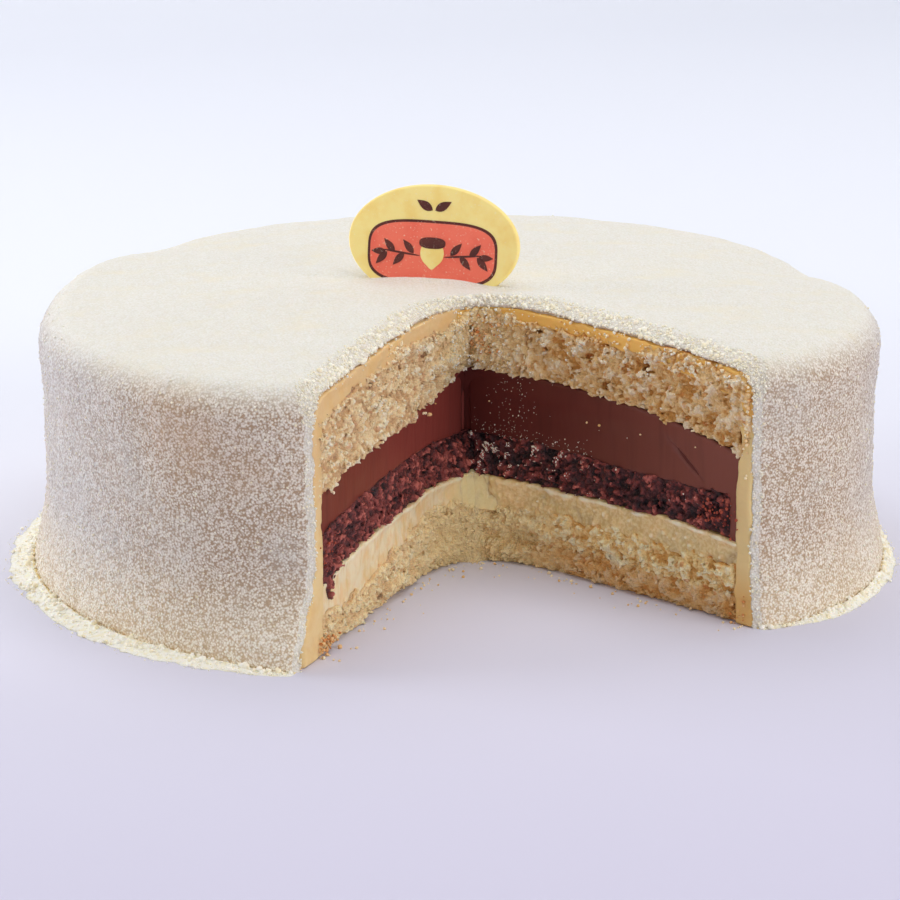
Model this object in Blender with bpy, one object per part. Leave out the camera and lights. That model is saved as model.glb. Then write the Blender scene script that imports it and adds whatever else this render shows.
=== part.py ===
"""Round layer cake with a wedge cut out of it, in metres, standing on z = 0.

From the ground up: vanilla sponge, cream, chocolate sponge inside a skirt of ganache, vanilla
sponge, icing and a coat of powder, with an oval plaque pressed into the top. The wedge opens
towards -Y. Every layer is one closed solid swept round the corner of the wedge, from the right
cut face, behind the cake, to the left one.
"""

import math

import bmesh
import bpy
import numpy as np
from mathutils import Matrix, Vector, noise

# Overall size. The cake's own axis stands a little off the origin, which is the footprint's middle.
HEIGHT = 0.083
RIM_RADIUS = 0.1247
AXIS = Vector((0.0014, -0.0147, 0.0))
LOPSIDED = 0.0018
LOPSIDED_TOWARDS = math.radians(-12.75)

# Gap between one solid and the next
GAP = 0.0003

# The wedge that was cut out, seen from above. Its corner lies near the axis.
NOTCH_HALF_ANGLE = math.radians(34.75)
NOTCH_CORNER = Vector((0.0026, -0.0027, 0.0))
PINCH = 0.0118
PINCH_SPREAD = math.radians(11.0)

# At the corner the crumb bulges forward, more in the sponges than in the ganache.
NOSE_LENGTH = 0.0137
NOSE_REACH = 0.036
NOSE_HEIGHTS = (0.000, 0.016, 0.026, 0.033, 0.038, 0.056, 0.062, 0.083)
NOSE_SHARES = (1.00, 1.00, 0.85, 0.45, 0.05, 0.05, 0.60, 1.00)

# Crown of the cake: a low dome that rolls over into the side wall, and a foot that spreads.
DOME_DROP = 0.0052
DOME_POWER = 2.2
CROWN_FILLET = 0.0095
SHOULDER = 0.0012
SHOULDER_HEIGHTS = (0.053, 0.068)
FOOT_HEIGHT = 0.026
FOOT_FLARE = 0.0042
RIGHT_FOOT_LOSS = 0.7
RIGHT_FOOT_SPREAD = math.radians(16.0)
LEFT_FOOT_FLARE = 0.0065
LEFT_FOOT_SPREAD = math.radians(9.0)

# Unevenness of the crown's rim: angle and width in degrees, rise in metres
DENTS = (
    (8.0, 22.0, -0.0026),
    (13.0, 7.0, -0.0030),
    (130.0, 6.0, -0.0018),
    (149.0, 11.0, 0.0018),
)
DENT_POWER = 4

# Loose powder that drifted against the foot, wider on the left and scant beside the cuts
DRIFT_HEIGHT = 0.006
DRIFT_WIDTH = 0.0052
DRIFT_LOPSIDED = 0.0035
DRIFT_TOWARDS = math.radians(187.0)
DRIFT_FADE = math.radians(14.0)
DRIFT_LOSS = 0.85
DRIFT_UNEVEN = 0.3
DRIFT_UNEVEN_LENGTH = 0.4

# Thicknesses
COAT_TOP = 0.0042
COAT_SIDE = 0.0020
ICING_SIDE = 0.0038
SKIRT = 0.0040

# Heights of the faces between the layers, in metres, at four shares of the way out from the
# corner of the wedge: first along the right cut face, then along the left one.
SHARES = (0.0, 0.28, 0.65, 1.0)
LEVELS = {
    "bottom_sponge": ((0.0170, 0.0160, 0.0160, 0.0145), (0.0170, 0.0185, 0.0120, 0.0115)),
    "cream": ((0.0277, 0.0263, 0.0264, 0.0243), (0.0277, 0.0264, 0.0250, 0.0203)),
    "chocolate_sponge": ((0.0380, 0.0390, 0.0382, 0.0383), (0.0380, 0.0400, 0.0393, 0.0358)),
    "ganache": ((0.0585, 0.0583, 0.0565, 0.0493), (0.0585, 0.0523, 0.0506, 0.0456)),
    "top_sponge": ((0.0745, 0.0750, 0.0736, 0.0668), (0.0745, 0.0730, 0.0716, 0.0668)),
}
LEVEL_WAVE = 0.0006
LEVEL_WAVE_LENGTH = 0.014

# Cut faces: rows of points up each one, depth of its crags, and how far it stands behind its edges
CUT_FACES = {
    "bottom_sponge": (5, 0.0014, 0.0002),
    "cream": (3, 0.0004, 0.0004),
    "chocolate_sponge": (4, 0.0013, 0.0000),
    "ganache": (2, 0.0001, 0.0005),
    "top_sponge": (5, 0.0015, -0.0003),
    "icing": (1, 0.0, 0.0),
    "powder_coat": (1, 0.0, 0.0),
}
EDGE_RELIEF = 0.0004
CRAG_LENGTH = 0.0065
FINE_CRAG_SHARE = 0.5
FACE_TO_FACE_SHIFT = 3.0
COAT_SET_BACK = 0.0018
SET_BACK_RAMP = 0.030

# Soft ripples of the powder, which die out towards the corner of the wedge
RIPPLE = 0.0003
RIPPLE_LENGTH = 0.016
RIPPLE_RAMP = 0.020
NOISE_GAIN = 1.4

# Colour and roughness of each solid
LOOKS = {
    "bottom_sponge": ((0.78, 0.56, 0.26), 0.90),
    "cream": ((0.84, 0.68, 0.40), 0.45),
    "chocolate_sponge": ((0.085, 0.025, 0.020), 0.85),
    "ganache": ((0.085, 0.028, 0.020), 0.40),
    "top_sponge": ((0.78, 0.56, 0.26), 0.90),
    "icing": ((0.80, 0.55, 0.22), 0.50),
    "powder_coat": ((0.88, 0.84, 0.74), 0.95),
    "plaque": ((0.86, 0.66, 0.28), 0.40),
}
SHARP_ANGLE = math.radians(40.0)

# Plaque: an upright oval that leans back a little and turns towards the left.
PLAQUE_WIDTH = 0.0538
PLAQUE_HEIGHT = 0.035
PLAQUE_THICKNESS = 0.0026
PLAQUE_EDGE = 0.0004
PLAQUE_CENTRE = Vector((-0.0050, 0.0052, 0.0944))
PLAQUE_LEAN = math.radians(8.0)
PLAQUE_TURN = math.radians(-30.75)
PLAQUE_SIDES = 40

# Fineness of the meshes
SECTORS = 36
CROWDING = 0.3
STEPS_OUT = 32
COARSE_STEPS = (0, 4, 12, 20, 28, STEPS_OUT)
BEND_STEPS = 4
WALL_SHARES = (0.80, 0.58, 0.36, 0.20, 0.075, 0.0)
SKIRT_INNER_ROWS = 4
SKIRT_OUTER_ROWS = 3

SWEEP = math.tau - 2 * NOTCH_HALF_ANGLE
FIRST_ANGLE = NOTCH_HALF_ANGLE - math.pi / 2


def clear_scene():
    """Remove what the scene holds."""
    for thing in list(bpy.data.objects):
        bpy.data.objects.remove(thing, do_unlink=True)


def material(name):
    """Plain food material of one colour."""
    colour, roughness = LOOKS[name]
    made = bpy.data.materials.new(name)
    made.use_nodes = True
    shader = made.node_tree.nodes["Principled BSDF"]
    shader.inputs["Base Color"].default_value = (*colour, 1.0)
    shader.inputs["Roughness"].default_value = roughness
    shader.inputs["Metallic"].default_value = 0.0
    return made


def heading(turn):
    """Unit vector out from the corner of the wedge. Turn runs from 0, right face, to 1, left face."""
    angle = FIRST_ANGLE + turn * SWEEP
    return Vector((math.cos(angle), math.sin(angle), 0.0))


def near_cut(turn):
    """1 at either cut face, falling off round the cake."""
    from_right = turn * SWEEP
    from_left = SWEEP - from_right
    return math.exp(-from_right / PINCH_SPREAD) + math.exp(-from_left / PINCH_SPREAD)


def rim_radius(turn):
    """Radius of the finished cake about its axis at half height, less beside the two cuts."""
    angle = FIRST_ANGLE + turn * SWEEP
    return RIM_RADIUS + LOPSIDED * math.cos(angle - LOPSIDED_TOWARDS) - PINCH * near_cut(turn)


def reach(turn, radius):
    """Distance from the corner of the wedge to the circle of this radius about the axis."""
    along = NOTCH_CORNER.dot(heading(turn))
    return math.sqrt(radius**2 - NOTCH_CORNER.length_squared + along**2) - along


def wave(point, length):
    """Smooth noise of about -1 to 1 that changes over this length."""
    return noise.noise(point / length) * NOISE_GAIN


def level(name, turn, shares):
    """Height of the face on top of a layer, at these shares of the way out."""
    blend = turn * turn * (3 - 2 * turn)
    heights = (1 - blend) * np.array(LEVELS[name][0]) + blend * np.array(LEVELS[name][1])
    smooth = np.polyval(np.polyfit(SHARES, heights, len(SHARES) - 1), shares)
    out = heading(turn) * reach(turn, core_radius(turn))
    lift = Vector((0, 0, heights[0]))
    waves = [LEVEL_WAVE * wave(out * share + lift, LEVEL_WAVE_LENGTH) for share in shares]
    return smooth + np.array(waves) * np.minimum(1.0, np.array(shares) * len(SHARES))


def core_radius(turn):
    """Radius of the layers inside the icing."""
    return rim_radius(turn) - COAT_SIDE - ICING_SIDE


def core_shares(turn):
    """Steps out to the ganache's skirt, and one more across the skirt."""
    inside_skirt = 1 - SKIRT / reach(turn, core_radius(turn))
    return np.append(np.linspace(0.0, inside_skirt, STEPS_OUT + 1), 1.0)


def flat_line(name, turn, side, steps, last_move):
    """Section line along a level: reach and height, half a gap to one side of it."""
    shares = core_shares(turn)[: steps + 1]
    out = shares * reach(turn, core_radius(turn))
    out[-1] += last_move
    if name == "ground":
        return np.column_stack([out, np.zeros(len(out))])
    return np.column_stack([out, level(name, turn, shares) + side * GAP / 2])


def spread(turn, height):
    """How far the wall stands out of its radius at half height, at the shoulder and at the foot."""
    from_right = turn * SWEEP / RIGHT_FOOT_SPREAD
    to_left = (1 - turn) * SWEEP / LEFT_FOOT_SPREAD
    foot = FOOT_FLARE * (1 - RIGHT_FOOT_LOSS * math.exp(-from_right))
    foot += LEFT_FOOT_FLARE * math.exp(-to_left * to_left)
    low = max(0.0, 1 - height / FOOT_HEIGHT)
    high = float(np.interp(height, SHOULDER_HEIGHTS, (0.0, 1.0)))
    return foot * low * low * (3 - 2 * low) + SHOULDER * (1 - near_cut(turn)) * high


def dents(turn):
    """Unevenness of the crown's rim, from its list of angle, width and height."""
    angle = math.degrees(FIRST_ANGLE + turn * SWEEP)
    return sum(rise * math.exp(-(((angle - at) / width) ** 2)) for at, width, rise in DENTS)


def drift(turn):
    """Width of the loose powder on the ground."""
    angle = FIRST_ANGLE + turn * SWEEP
    width = DRIFT_WIDTH + DRIFT_LOPSIDED * math.cos(angle - DRIFT_TOWARDS)
    nearest = min(turn, 1 - turn) * SWEEP
    uneven = 1 + DRIFT_UNEVEN * wave(heading(turn), DRIFT_UNEVEN_LENGTH)
    return width * uneven * (1 - DRIFT_LOSS * math.exp(-nearest / DRIFT_FADE))


def crown_line(turn, side_inset, top_inset):
    """Section line over the crown, round the fillet and down the wall to the ground."""
    rim = rim_radius(turn) + spread(turn, SHOULDER_HEIGHTS[1]) - side_inset
    fillet = CROWN_FILLET - side_inset
    scale = reach(turn, rim) / rim
    bends = np.linspace(0.0, math.pi / 2, BEND_STEPS + 1)[1:]
    radii = np.linspace(0.0, rim - fillet, STEPS_OUT + 1)
    radii = np.append(radii, rim - fillet + fillet * np.sin(bends))
    past = np.maximum(0.0, radii - (rim - fillet))
    drop = fillet - np.sqrt(np.maximum(0.0, fillet**2 - past**2))
    heights = HEIGHT - top_inset - DOME_DROP * (radii / rim) ** DOME_POWER - drop
    heights += dents(turn) * (radii / rim) ** DENT_POWER
    wall = np.array(WALL_SHARES) * heights[-1]
    waist = reach(turn, rim_radius(turn) - side_inset)
    out = np.append(radii * scale, [waist + spread(turn, z) for z in wall])
    return np.column_stack([out, np.append(heights, wall)])


def down_to(line, height, rows):
    """The section line carried straight down from its end to this height, in equal rows."""
    down = np.linspace(line[-1, 1], height, rows + 1)[1:]
    return np.vstack([line, np.column_stack([np.full(rows, line[-1, 0]), down])])


def core_line(turn):
    """Section line over the top sponge and down its side, as the icing meets it."""
    top = flat_line("top_sponge", turn, +1, STEPS_OUT + 1, GAP / 2)
    return down_to(top, 0.0, BEND_STEPS + len(WALL_SHARES) - 1)


def skirt_lines(turn):
    """The ganache's underside with the inside of its skirt, and its top with the outside."""
    end = flat_line("cream", turn, +1, STEPS_OUT + 1, 0.0)
    inner = flat_line("chocolate_sponge", turn, +1, STEPS_OUT, GAP / 2)
    outer = flat_line("ganache", turn, -1, STEPS_OUT + 1, -GAP / 2)
    return down_to(inner, end[-2, 1], SKIRT_INNER_ROWS), down_to(outer, end[-1, 1], SKIRT_OUTER_ROWS)


def coat_outside(turn):
    """The powder's surface, with soft ripples and the drift of loose powder at the foot."""
    line = crown_line(turn, 0.0, 0.0)
    way = heading(turn)
    for row in line:
        ripple = RIPPLE * wave(way * row[0] + Vector((0, 0, row[1])), RIPPLE_LENGTH)
        low = max(0.0, 1 - row[1] / DRIFT_HEIGHT)
        row[0] += ripple * min(1, row[0] / RIPPLE_RAMP) + drift(turn) * low * low
    plan = line[: STEPS_OUT + 1]
    for row in plan:
        row[1] += RIPPLE * wave(way * row[0] + Vector((0, 0, 1)), RIPPLE_LENGTH)
    plan[0, 1] = HEIGHT
    return line


def nose(height):
    """Forward move of the corner at this height."""
    return Vector((0.0, -NOSE_LENGTH * float(np.interp(height, NOSE_HEIGHTS, NOSE_SHARES)), 0.0))


def place(turn, out, height):
    """Point at this reach and height, on this heading from the corner of the wedge."""
    point = AXIS + NOTCH_CORNER + heading(turn) * out
    point.z = height
    return point


def crags(turn, out, height):
    """Uneven depth of a cut face, about -1 to 1, and calmer towards the corner."""
    flat = Vector((out, height, FACE_TO_FACE_SHIFT * turn))
    uneven = wave(flat, CRAG_LENGTH) + FINE_CRAG_SHARE * wave(flat, CRAG_LENGTH / 2)
    return uneven * min(1.0, out / SET_BACK_RAMP)


def bulge(out, height):
    """Forward move near the corner, where the crumb bulges."""
    return nose(height) * max(0.0, 1 - out / NOSE_REACH) ** 2


def cut_point(turn, out, height, depth):
    """Point of a cut face moved this deep, straight into the food."""
    way = heading(turn)
    inward = Vector((-way.y, way.x, 0.0)) * (1 if turn == 0.0 else -1)
    return place(turn, out, height) + bulge(out, height) + inward * depth


def cut_back_point(lines, turn, step, end, depth):
    """Point of a cut edge that follows the wall round as it crumbles back this deep."""
    out, height = lines(turn)[end][step]
    back = depth / max(out, SET_BACK_RAMP) / SWEEP
    moved = turn + back if turn == 0.0 else turn - back
    out, height = lines(moved)[end][step]
    return place(moved, out, height) + bulge(out, height)


def bridge(mesh, one, other, turned):
    """Triangles between two rows of (step, vertex) that share their first and last steps."""
    a = b = 0
    while a < len(one) - 1 or b < len(other) - 1:
        step_a = one[a + 1][0] if a < len(one) - 1 else math.inf
        step_b = other[b + 1][0] if b < len(other) - 1 else math.inf
        corners = [one[a][1], other[b][1]]
        if step_a <= step_b:
            corners.insert(1, one[a + 1][1])
            a += 1
        else:
            corners.insert(1, other[b + 1][1])
            b += 1
        if len(set(corners)) == 3:
            mesh.faces.new(corners[::-1] if turned else corners)


def cut_face_points(lines, turn, rows, relief, set_back, crumbled):
    """Grid of points on a cut face: steps along the section lines, rows from inner to outer."""
    inner, outer = lines(turn)
    last = len(inner) - 1
    for step in range(last + 1):
        column = []
        for row in range(rows + 1):
            out, height = inner[step] + (outer[step] - inner[step]) * row / rows
            uneven = crags(turn, out, height)
            if crumbled:
                depth = COAT_SET_BACK + EDGE_RELIEF * uneven
                column.append(cut_back_point(lines, turn, step, row, depth))
            elif row in (0, rows) or step == last:
                column.append(cut_point(turn, out, height, EDGE_RELIEF * uneven))
            else:
                column.append(cut_point(turn, out, height, set_back + relief * uneven))
        yield column


def add_layer(name, lines, coarse, crumbled=False):
    """One layer between an inner and an outer section line, which lines(turn) gives."""
    rows, relief, set_back = CUT_FACES[name]
    mesh = bmesh.new()
    faces = []
    for turn in (0.0, 1.0):
        grid = []
        for column in cut_face_points(lines, turn, rows, relief, set_back, crumbled):
            if turn == 1.0 and not grid:
                grid.append(faces[0][0])
                continue
            grid.append([mesh.verts.new(point) for point in column])
        faces.append(grid)
        for near, far in zip(grid, grid[1:]):
            for row in range(rows):
                quad = (near[row], far[row], far[row + 1], near[row + 1])
                halves = (quad[:3], (quad[0], quad[2], quad[3]))
                for half in halves:
                    mesh.faces.new(half if turn == 0.0 else half[::-1])

    def section(station):
        share = station / SECTORS
        turn = share - CROWDING * math.sin(math.tau * share) / math.tau
        if station in (0, SECTORS):
            grid = faces[station // SECTORS]
            inner = [(step, column[0]) for step, column in enumerate(grid)]
            outer = [(step, column[-1]) for step, column in enumerate(grid)]
            return inner, outer, list(enumerate(grid[-1]))
        rims = []
        for line, end in zip(lines(turn), (0, -1)):
            rim = [(0, faces[0][0][end])]
            for step in coarse[1:]:
                rim.append((step, mesh.verts.new(place(turn, *line[step]))))
            rims.append(rim)
        inner, outer = rims
        return inner, outer, [(0, inner[-1][1]), (rows, outer[-1][1])]

    before = section(0)
    for station in range(1, SECTORS + 1):
        after = section(station)
        bridge(mesh, before[0], after[0], turned=True)
        bridge(mesh, before[1], after[1], turned=False)
        bridge(mesh, before[2], after[2], turned=True)
        before = after
    return finish_object(name, mesh, name)


def finish_object(name, mesh, look):
    """Object of this mesh with a material of its own."""
    data = bpy.data.meshes.new(name)
    mesh.to_mesh(data)
    mesh.free()
    data.materials.append(material(look))
    data.shade_smooth()
    data.set_sharp_from_angle(angle=SHARP_ANGLE)
    thing = bpy.data.objects.new(name, data)
    bpy.context.collection.objects.link(thing)
    return thing


def add_plaque(name, grow, edge):
    """Oval disc, upright, turned and leant back."""
    mesh = bmesh.new()
    ring = bmesh.ops.create_circle(mesh, cap_ends=True, segments=PLAQUE_SIDES, radius=1.0)
    half = (PLAQUE_WIDTH / 2 + grow, PLAQUE_HEIGHT / 2 + grow, 1.0)
    bmesh.ops.scale(mesh, vec=half, verts=ring["verts"])
    pushed = bmesh.ops.extrude_face_region(mesh, geom=mesh.faces[:])
    thickness = PLAQUE_THICKNESS + 2 * grow
    raised = [item for item in pushed["geom"] if isinstance(item, bmesh.types.BMVert)]
    bmesh.ops.translate(mesh, vec=(0, 0, thickness), verts=raised)
    bmesh.ops.translate(mesh, vec=(0, 0, -thickness / 2), verts=mesh.verts[:])
    if edge:
        rims = [e for e in mesh.edges if abs(e.verts[0].co.z - e.verts[1].co.z) < thickness / 2]
        bmesh.ops.bevel(mesh, geom=rims, offset=edge, segments=1, affect="EDGES")
    bmesh.ops.recalc_face_normals(mesh, faces=mesh.faces[:])
    bmesh.ops.triangulate(mesh, faces=mesh.faces[:])
    disc = finish_object(name, mesh, "plaque")
    upright = Matrix.Rotation(PLAQUE_TURN, 4, "Z") @ Matrix.Rotation(math.pi / 2 - PLAQUE_LEAN, 4, "X")
    disc.matrix_world = Matrix.Translation(AXIS + PLAQUE_CENTRE) @ upright
    return disc


def cut_slot(thing, cutter):
    """Open a slot in a layer where the plaque stands in it."""
    cut = thing.modifiers.new("plaque slot", "BOOLEAN")
    cut.operation = "DIFFERENCE"
    cut.solver = "EXACT"
    cut.object = cutter


def add_core():
    """The five layers inside the icing."""
    wall = STEPS_OUT + 1
    steps = (*COARSE_STEPS, wall)
    skirt_steps = (*steps, *range(wall + 1, wall + SKIRT_INNER_ROWS))

    def slab(below, above, last_step):
        def lines(turn):
            low = flat_line(below, turn, +1, last_step, -GAP / 2)
            return low, flat_line(above, turn, -1, last_step, -GAP / 2)

        return lines

    add_layer("bottom_sponge", slab("ground", "bottom_sponge", wall), steps)
    add_layer("cream", slab("bottom_sponge", "cream", wall), steps)
    add_layer("chocolate_sponge", slab("cream", "chocolate_sponge", STEPS_OUT), COARSE_STEPS)
    add_layer("ganache", skirt_lines, skirt_steps)
    add_layer("top_sponge", slab("ganache", "top_sponge", wall), steps)


def add_icing_and_coat():
    """The icing over the layers and the powder over the icing."""
    last_step = STEPS_OUT + BEND_STEPS + len(WALL_SHARES)
    steps = (*COARSE_STEPS, *range(STEPS_OUT + 1, last_step + 1))

    def icing_lines(turn):
        return core_line(turn), crown_line(turn, COAT_SIDE + GAP / 2, COAT_TOP + GAP / 2)

    def coat_lines(turn):
        return crown_line(turn, COAT_SIDE - GAP / 2, COAT_TOP - GAP / 2), coat_outside(turn)

    return add_layer("icing", icing_lines, steps), add_layer("powder_coat", coat_lines, steps, True)


def main():
    clear_scene()
    add_core()
    icing, coat = add_icing_and_coat()
    add_plaque("plaque", 0.0, PLAQUE_EDGE)
    cutter = add_plaque("plaque_slot", GAP, 0.0)
    cutter.hide_render = True
    cutter.display_type = "WIRE"
    cut_slot(icing, cutter)
    cut_slot(coat, cutter)


main()
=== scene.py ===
"""Dressed model of the layer cake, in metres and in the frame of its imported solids.

The cut faces are carved out of blocks of small cells, so that crumbs, pits and smears are real
shapes. The powder is a fine skin with loose grains on it. Every piece keeps its solid's form.
"""

import math
from itertools import product

import bmesh
import bpy
import numpy as np
from mathutils import Matrix, Vector, noise


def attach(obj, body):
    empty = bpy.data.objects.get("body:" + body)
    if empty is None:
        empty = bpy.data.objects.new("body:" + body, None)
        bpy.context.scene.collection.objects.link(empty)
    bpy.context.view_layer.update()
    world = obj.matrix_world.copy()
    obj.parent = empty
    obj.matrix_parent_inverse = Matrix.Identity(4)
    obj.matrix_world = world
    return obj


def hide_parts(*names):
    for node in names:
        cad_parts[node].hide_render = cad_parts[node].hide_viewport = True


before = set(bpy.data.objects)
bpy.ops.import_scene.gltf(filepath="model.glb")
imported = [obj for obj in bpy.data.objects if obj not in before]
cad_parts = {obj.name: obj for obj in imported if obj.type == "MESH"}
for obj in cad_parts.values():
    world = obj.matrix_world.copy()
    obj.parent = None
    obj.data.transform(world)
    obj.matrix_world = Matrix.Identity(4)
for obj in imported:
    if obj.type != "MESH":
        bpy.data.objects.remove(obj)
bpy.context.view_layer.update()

# Form of the solids, with the same names and values as in the part's source
HEIGHT = 0.083
RIM_RADIUS = 0.1247
AXIS = Vector((0.0014, -0.0147, 0.0))
LOPSIDED = 0.0018
LOPSIDED_TOWARDS = math.radians(-12.75)
NOTCH_HALF_ANGLE = math.radians(34.75)
NOTCH_CORNER = Vector((0.0026, -0.0027, 0.0))
PINCH = 0.0118
PINCH_SPREAD = math.radians(11.0)
NOSE_LENGTH = 0.0137
NOSE_REACH = 0.036
NOSE_HEIGHTS = (0.000, 0.016, 0.026, 0.033, 0.038, 0.056, 0.062, 0.083)
NOSE_SHARES = (1.00, 1.00, 0.85, 0.45, 0.05, 0.05, 0.60, 1.00)
DOME_DROP = 0.0052
DOME_POWER = 2.2
CROWN_FILLET = 0.0095
SHOULDER = 0.0012
SHOULDER_HEIGHTS = (0.053, 0.068)
DENTS = (
    (8.0, 22.0, -0.0026),
    (13.0, 7.0, -0.0030),
    (130.0, 6.0, -0.0018),
    (149.0, 11.0, 0.0018),
)
DENT_POWER = 4
FOOT_HEIGHT = 0.026
FOOT_FLARE = 0.0042
RIGHT_FOOT_LOSS = 0.7
RIGHT_FOOT_SPREAD = math.radians(16.0)
LEFT_FOOT_FLARE = 0.0065
LEFT_FOOT_SPREAD = math.radians(9.0)
COAT_TOP = 0.0042
COAT_SIDE = 0.0020
ICING_SIDE = 0.0038
SKIRT = 0.0040
SHARES = (0.0, 0.28, 0.65, 1.0)
LEVELS = {
    "bottom_sponge": ((0.0170, 0.0160, 0.0160, 0.0145), (0.0170, 0.0185, 0.0120, 0.0115)),
    "cream": ((0.0277, 0.0263, 0.0264, 0.0243), (0.0277, 0.0264, 0.0250, 0.0203)),
    "chocolate_sponge": ((0.0380, 0.0390, 0.0382, 0.0383), (0.0380, 0.0400, 0.0393, 0.0358)),
    "ganache": ((0.0585, 0.0583, 0.0565, 0.0493), (0.0585, 0.0523, 0.0506, 0.0456)),
    "top_sponge": ((0.0745, 0.0750, 0.0736, 0.0668), (0.0745, 0.0730, 0.0716, 0.0668)),
}
LEVEL_WAVE = 0.0006
LEVEL_WAVE_LENGTH = 0.014
NOISE_GAIN = 1.4
CRAG_LENGTH = 0.0065
SWEEP = math.tau - 2 * NOTCH_HALF_ANGLE
FIRST_ANGLE = NOTCH_HALF_ANGLE - math.pi / 2
DRIFT_WIDTH = 0.0056
DRIFT_LOPSIDED = 0.0022
DRIFT_TOWARDS = math.radians(187.0)
PLAQUE_WIDTH = 0.0538
PLAQUE_HEIGHT = 0.035
PLAQUE_THICKNESS = 0.0026
PLAQUE_CENTRE = Vector((-0.0050, 0.0052, 0.0944))
PLAQUE_LEAN = math.radians(8.0)
PLAQUE_TURN = math.radians(-30.75)

# The corner of the wedge, from which the cake's form is measured
CORNER = AXIS + NOTCH_CORNER

# The two cut faces: turn 0 is the right one, turn 1 the left one.
RIGHT, LEFT = 0, 1

# Sizes of the cells that the cut faces are carved from, and how far the carving reaches
CRUMB_CELL = 0.00045
SMOOTH_CELL = 0.0006
BEHIND_CORNER = 0.005
PAST_WALL = 0.012
IN_FRONT = 0.0028
CRUMB_DEPTH = 0.0044
SMOOTH_DEPTH = 0.0024
OVERLAP = 0.0012
SPAN_MARGIN = 0.0025
CRAG_STEP = 0.0015
LEAST_OUT = 0.030
NOTHING = 1e-4

# How far crumbs spill up over the icing, by share of the way out along each cut
SPILL = {
    RIGHT: ((0.0, 0.10, 0.22, 0.62, 0.75, 1.0), (0.0046, 0.0034, 0.0012, 0.0006, 0.0060, 0.0068)),
    LEFT: ((0.0, 0.08, 0.15, 0.41, 0.46, 0.53, 1.0),
           (0.0050, 0.0030, 0.0010, 0.0010, 0.0042, 0.0014, 0.0008)),
}
SPILL_OUT = 0.0030

# Spacing of the points on the powder's skin, and how its edge slopes down to the cuts
SKIN_TOP = 0.00098
SKIN_WALL = 0.00078
SKIN_STEPS = (round(0.113 / SKIN_TOP), round(0.015 / SKIN_TOP), round(0.070 / SKIN_WALL))
INNER_STEPS = (8, 3, 6)
INNER_COLUMNS = 40
EDGE_TONE = 1.4
RELIEF_TONE = 0.0004
WALL_STARTS = 1.9
EDGE_ROWS = 8
EDGE_BACK = 0.0004
EDGE_SLOPE_TOP = 0.0062
EDGE_SLOPE_WALL = 0.0020

# How far under the crown the icing shows at the cuts, and the bulge of ganache into it on the right
ICING_UNDER = 0.0036
BULGE = 0.0016
BULGE_HEIGHT = 0.0525
SCRATCH = ((0.0795, 0.0490), (0.0900, 0.0405))

# The two kinds of loose lump, and how many lie along the powder's edge at each cut
EIGHT_FACES, TWENTY_FACES = 0, 1
FRINGE_GRAINS = 1700
FRINGE_ON_TOP = 0.66
FRINGE_SPILLED = 0.20
FRINGE_CLUMPS = 190

# Tables of random values that all noise is made from

random = np.random.default_rng(20)
HASH = random.permutation(256)
GRADIENTS = random.normal(size=(256, 3)).astype(np.float32)
GRADIENTS /= np.linalg.norm(GRADIENTS, axis=1)[:, None]
OFFSETS = random.random((256, 3)).astype(np.float32)
SIZES = random.random(256).astype(np.float32)
SQUASH = random.uniform(0.75, 1.35, (256, 3)).astype(np.float32)


# Noise

GRAIN_GAIN = 1.7


def cells_of(points, size, shift):
    """The cell of this size that each point lies in, and its place in the cell."""
    scaled = (points / size + shift).astype(np.float32)
    base = np.floor(scaled)
    return base.astype(np.int32), scaled - base


def picked(base, step):
    """A random number from 0 to 255 for the cell this many steps from each base cell."""
    column = HASH[(HASH[(base[..., 0] + step[0]) & 255] + base[..., 1] + step[1]) & 255]
    return HASH[(column + base[..., 2] + step[2]) & 255]


def grain(points, length, seed):
    """Smooth gradient noise of about -1 to 1 that changes over this length."""
    base, inside = cells_of(points, length, seed * 17.31)
    fade = inside**3 * (inside * (inside * 6 - 15) + 10)
    total = np.zeros(points.shape[:-1], np.float32)
    for step in product((0, 1), repeat=3):
        rise = ((inside - np.float32(step)) * GRADIENTS[picked(base, step)]).sum(-1)
        near, middle, far = (fade[..., axis] if step[axis] else 1 - fade[..., axis] for axis in range(3))
        total += near * middle * far * rise
    return total * GRAIN_GAIN


def balls(points, spacing, low, high, seed, behind=None, limit=0.0):
    """How deep each point lies in the nearest of many scattered uneven balls; negative between them.

    Behind is how far each point lies in the food: a ball whose middle is less deep than the limit
    is left out.
    """
    base, inside = cells_of(points, spacing, seed * 9.7)
    best = np.full(points.shape[:-1], -1.0, np.float32)
    for step in product((-1, 0, 1), repeat=3):
        pick = picked(base, step)
        away = OFFSETS[pick] + np.float32(step) - inside
        depth = low + (high - low) * SIZES[pick] - np.sqrt(((away * SQUASH[pick]) ** 2).sum(-1)) * spacing
        if behind is not None:
            depth = np.where(behind + away[..., 2] * spacing > limit, depth, -1.0)
        np.maximum(best, depth, out=best)
    return best


def soft_max(a, b, blend):
    """The larger of two fields, rounded where they meet."""
    share = np.clip(0.5 + 0.5 * (a - b) / blend, 0, 1)
    return b + (a - b) * share + blend * share * (1 - share)


def soft_min(a, b, blend):
    return -soft_max(-a, -b, blend)


def smooth(value, low, high):
    """0 below low, 1 above high, and a soft step between."""
    share = np.clip((value - low) / (high - low), 0, 1)
    return share * share * (3 - 2 * share)


def bell(value, middle, width):
    return np.exp(-(((value - middle) / width) ** 2))


# The cake's form


def angle_at(turn):
    return FIRST_ANGLE + turn * SWEEP


def near_cut(turn):
    """About 1 beside either cut, falling off round the cake."""
    from_right = turn * SWEEP
    return np.exp(-from_right / PINCH_SPREAD) + np.exp(-(SWEEP - from_right) / PINCH_SPREAD)


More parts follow.
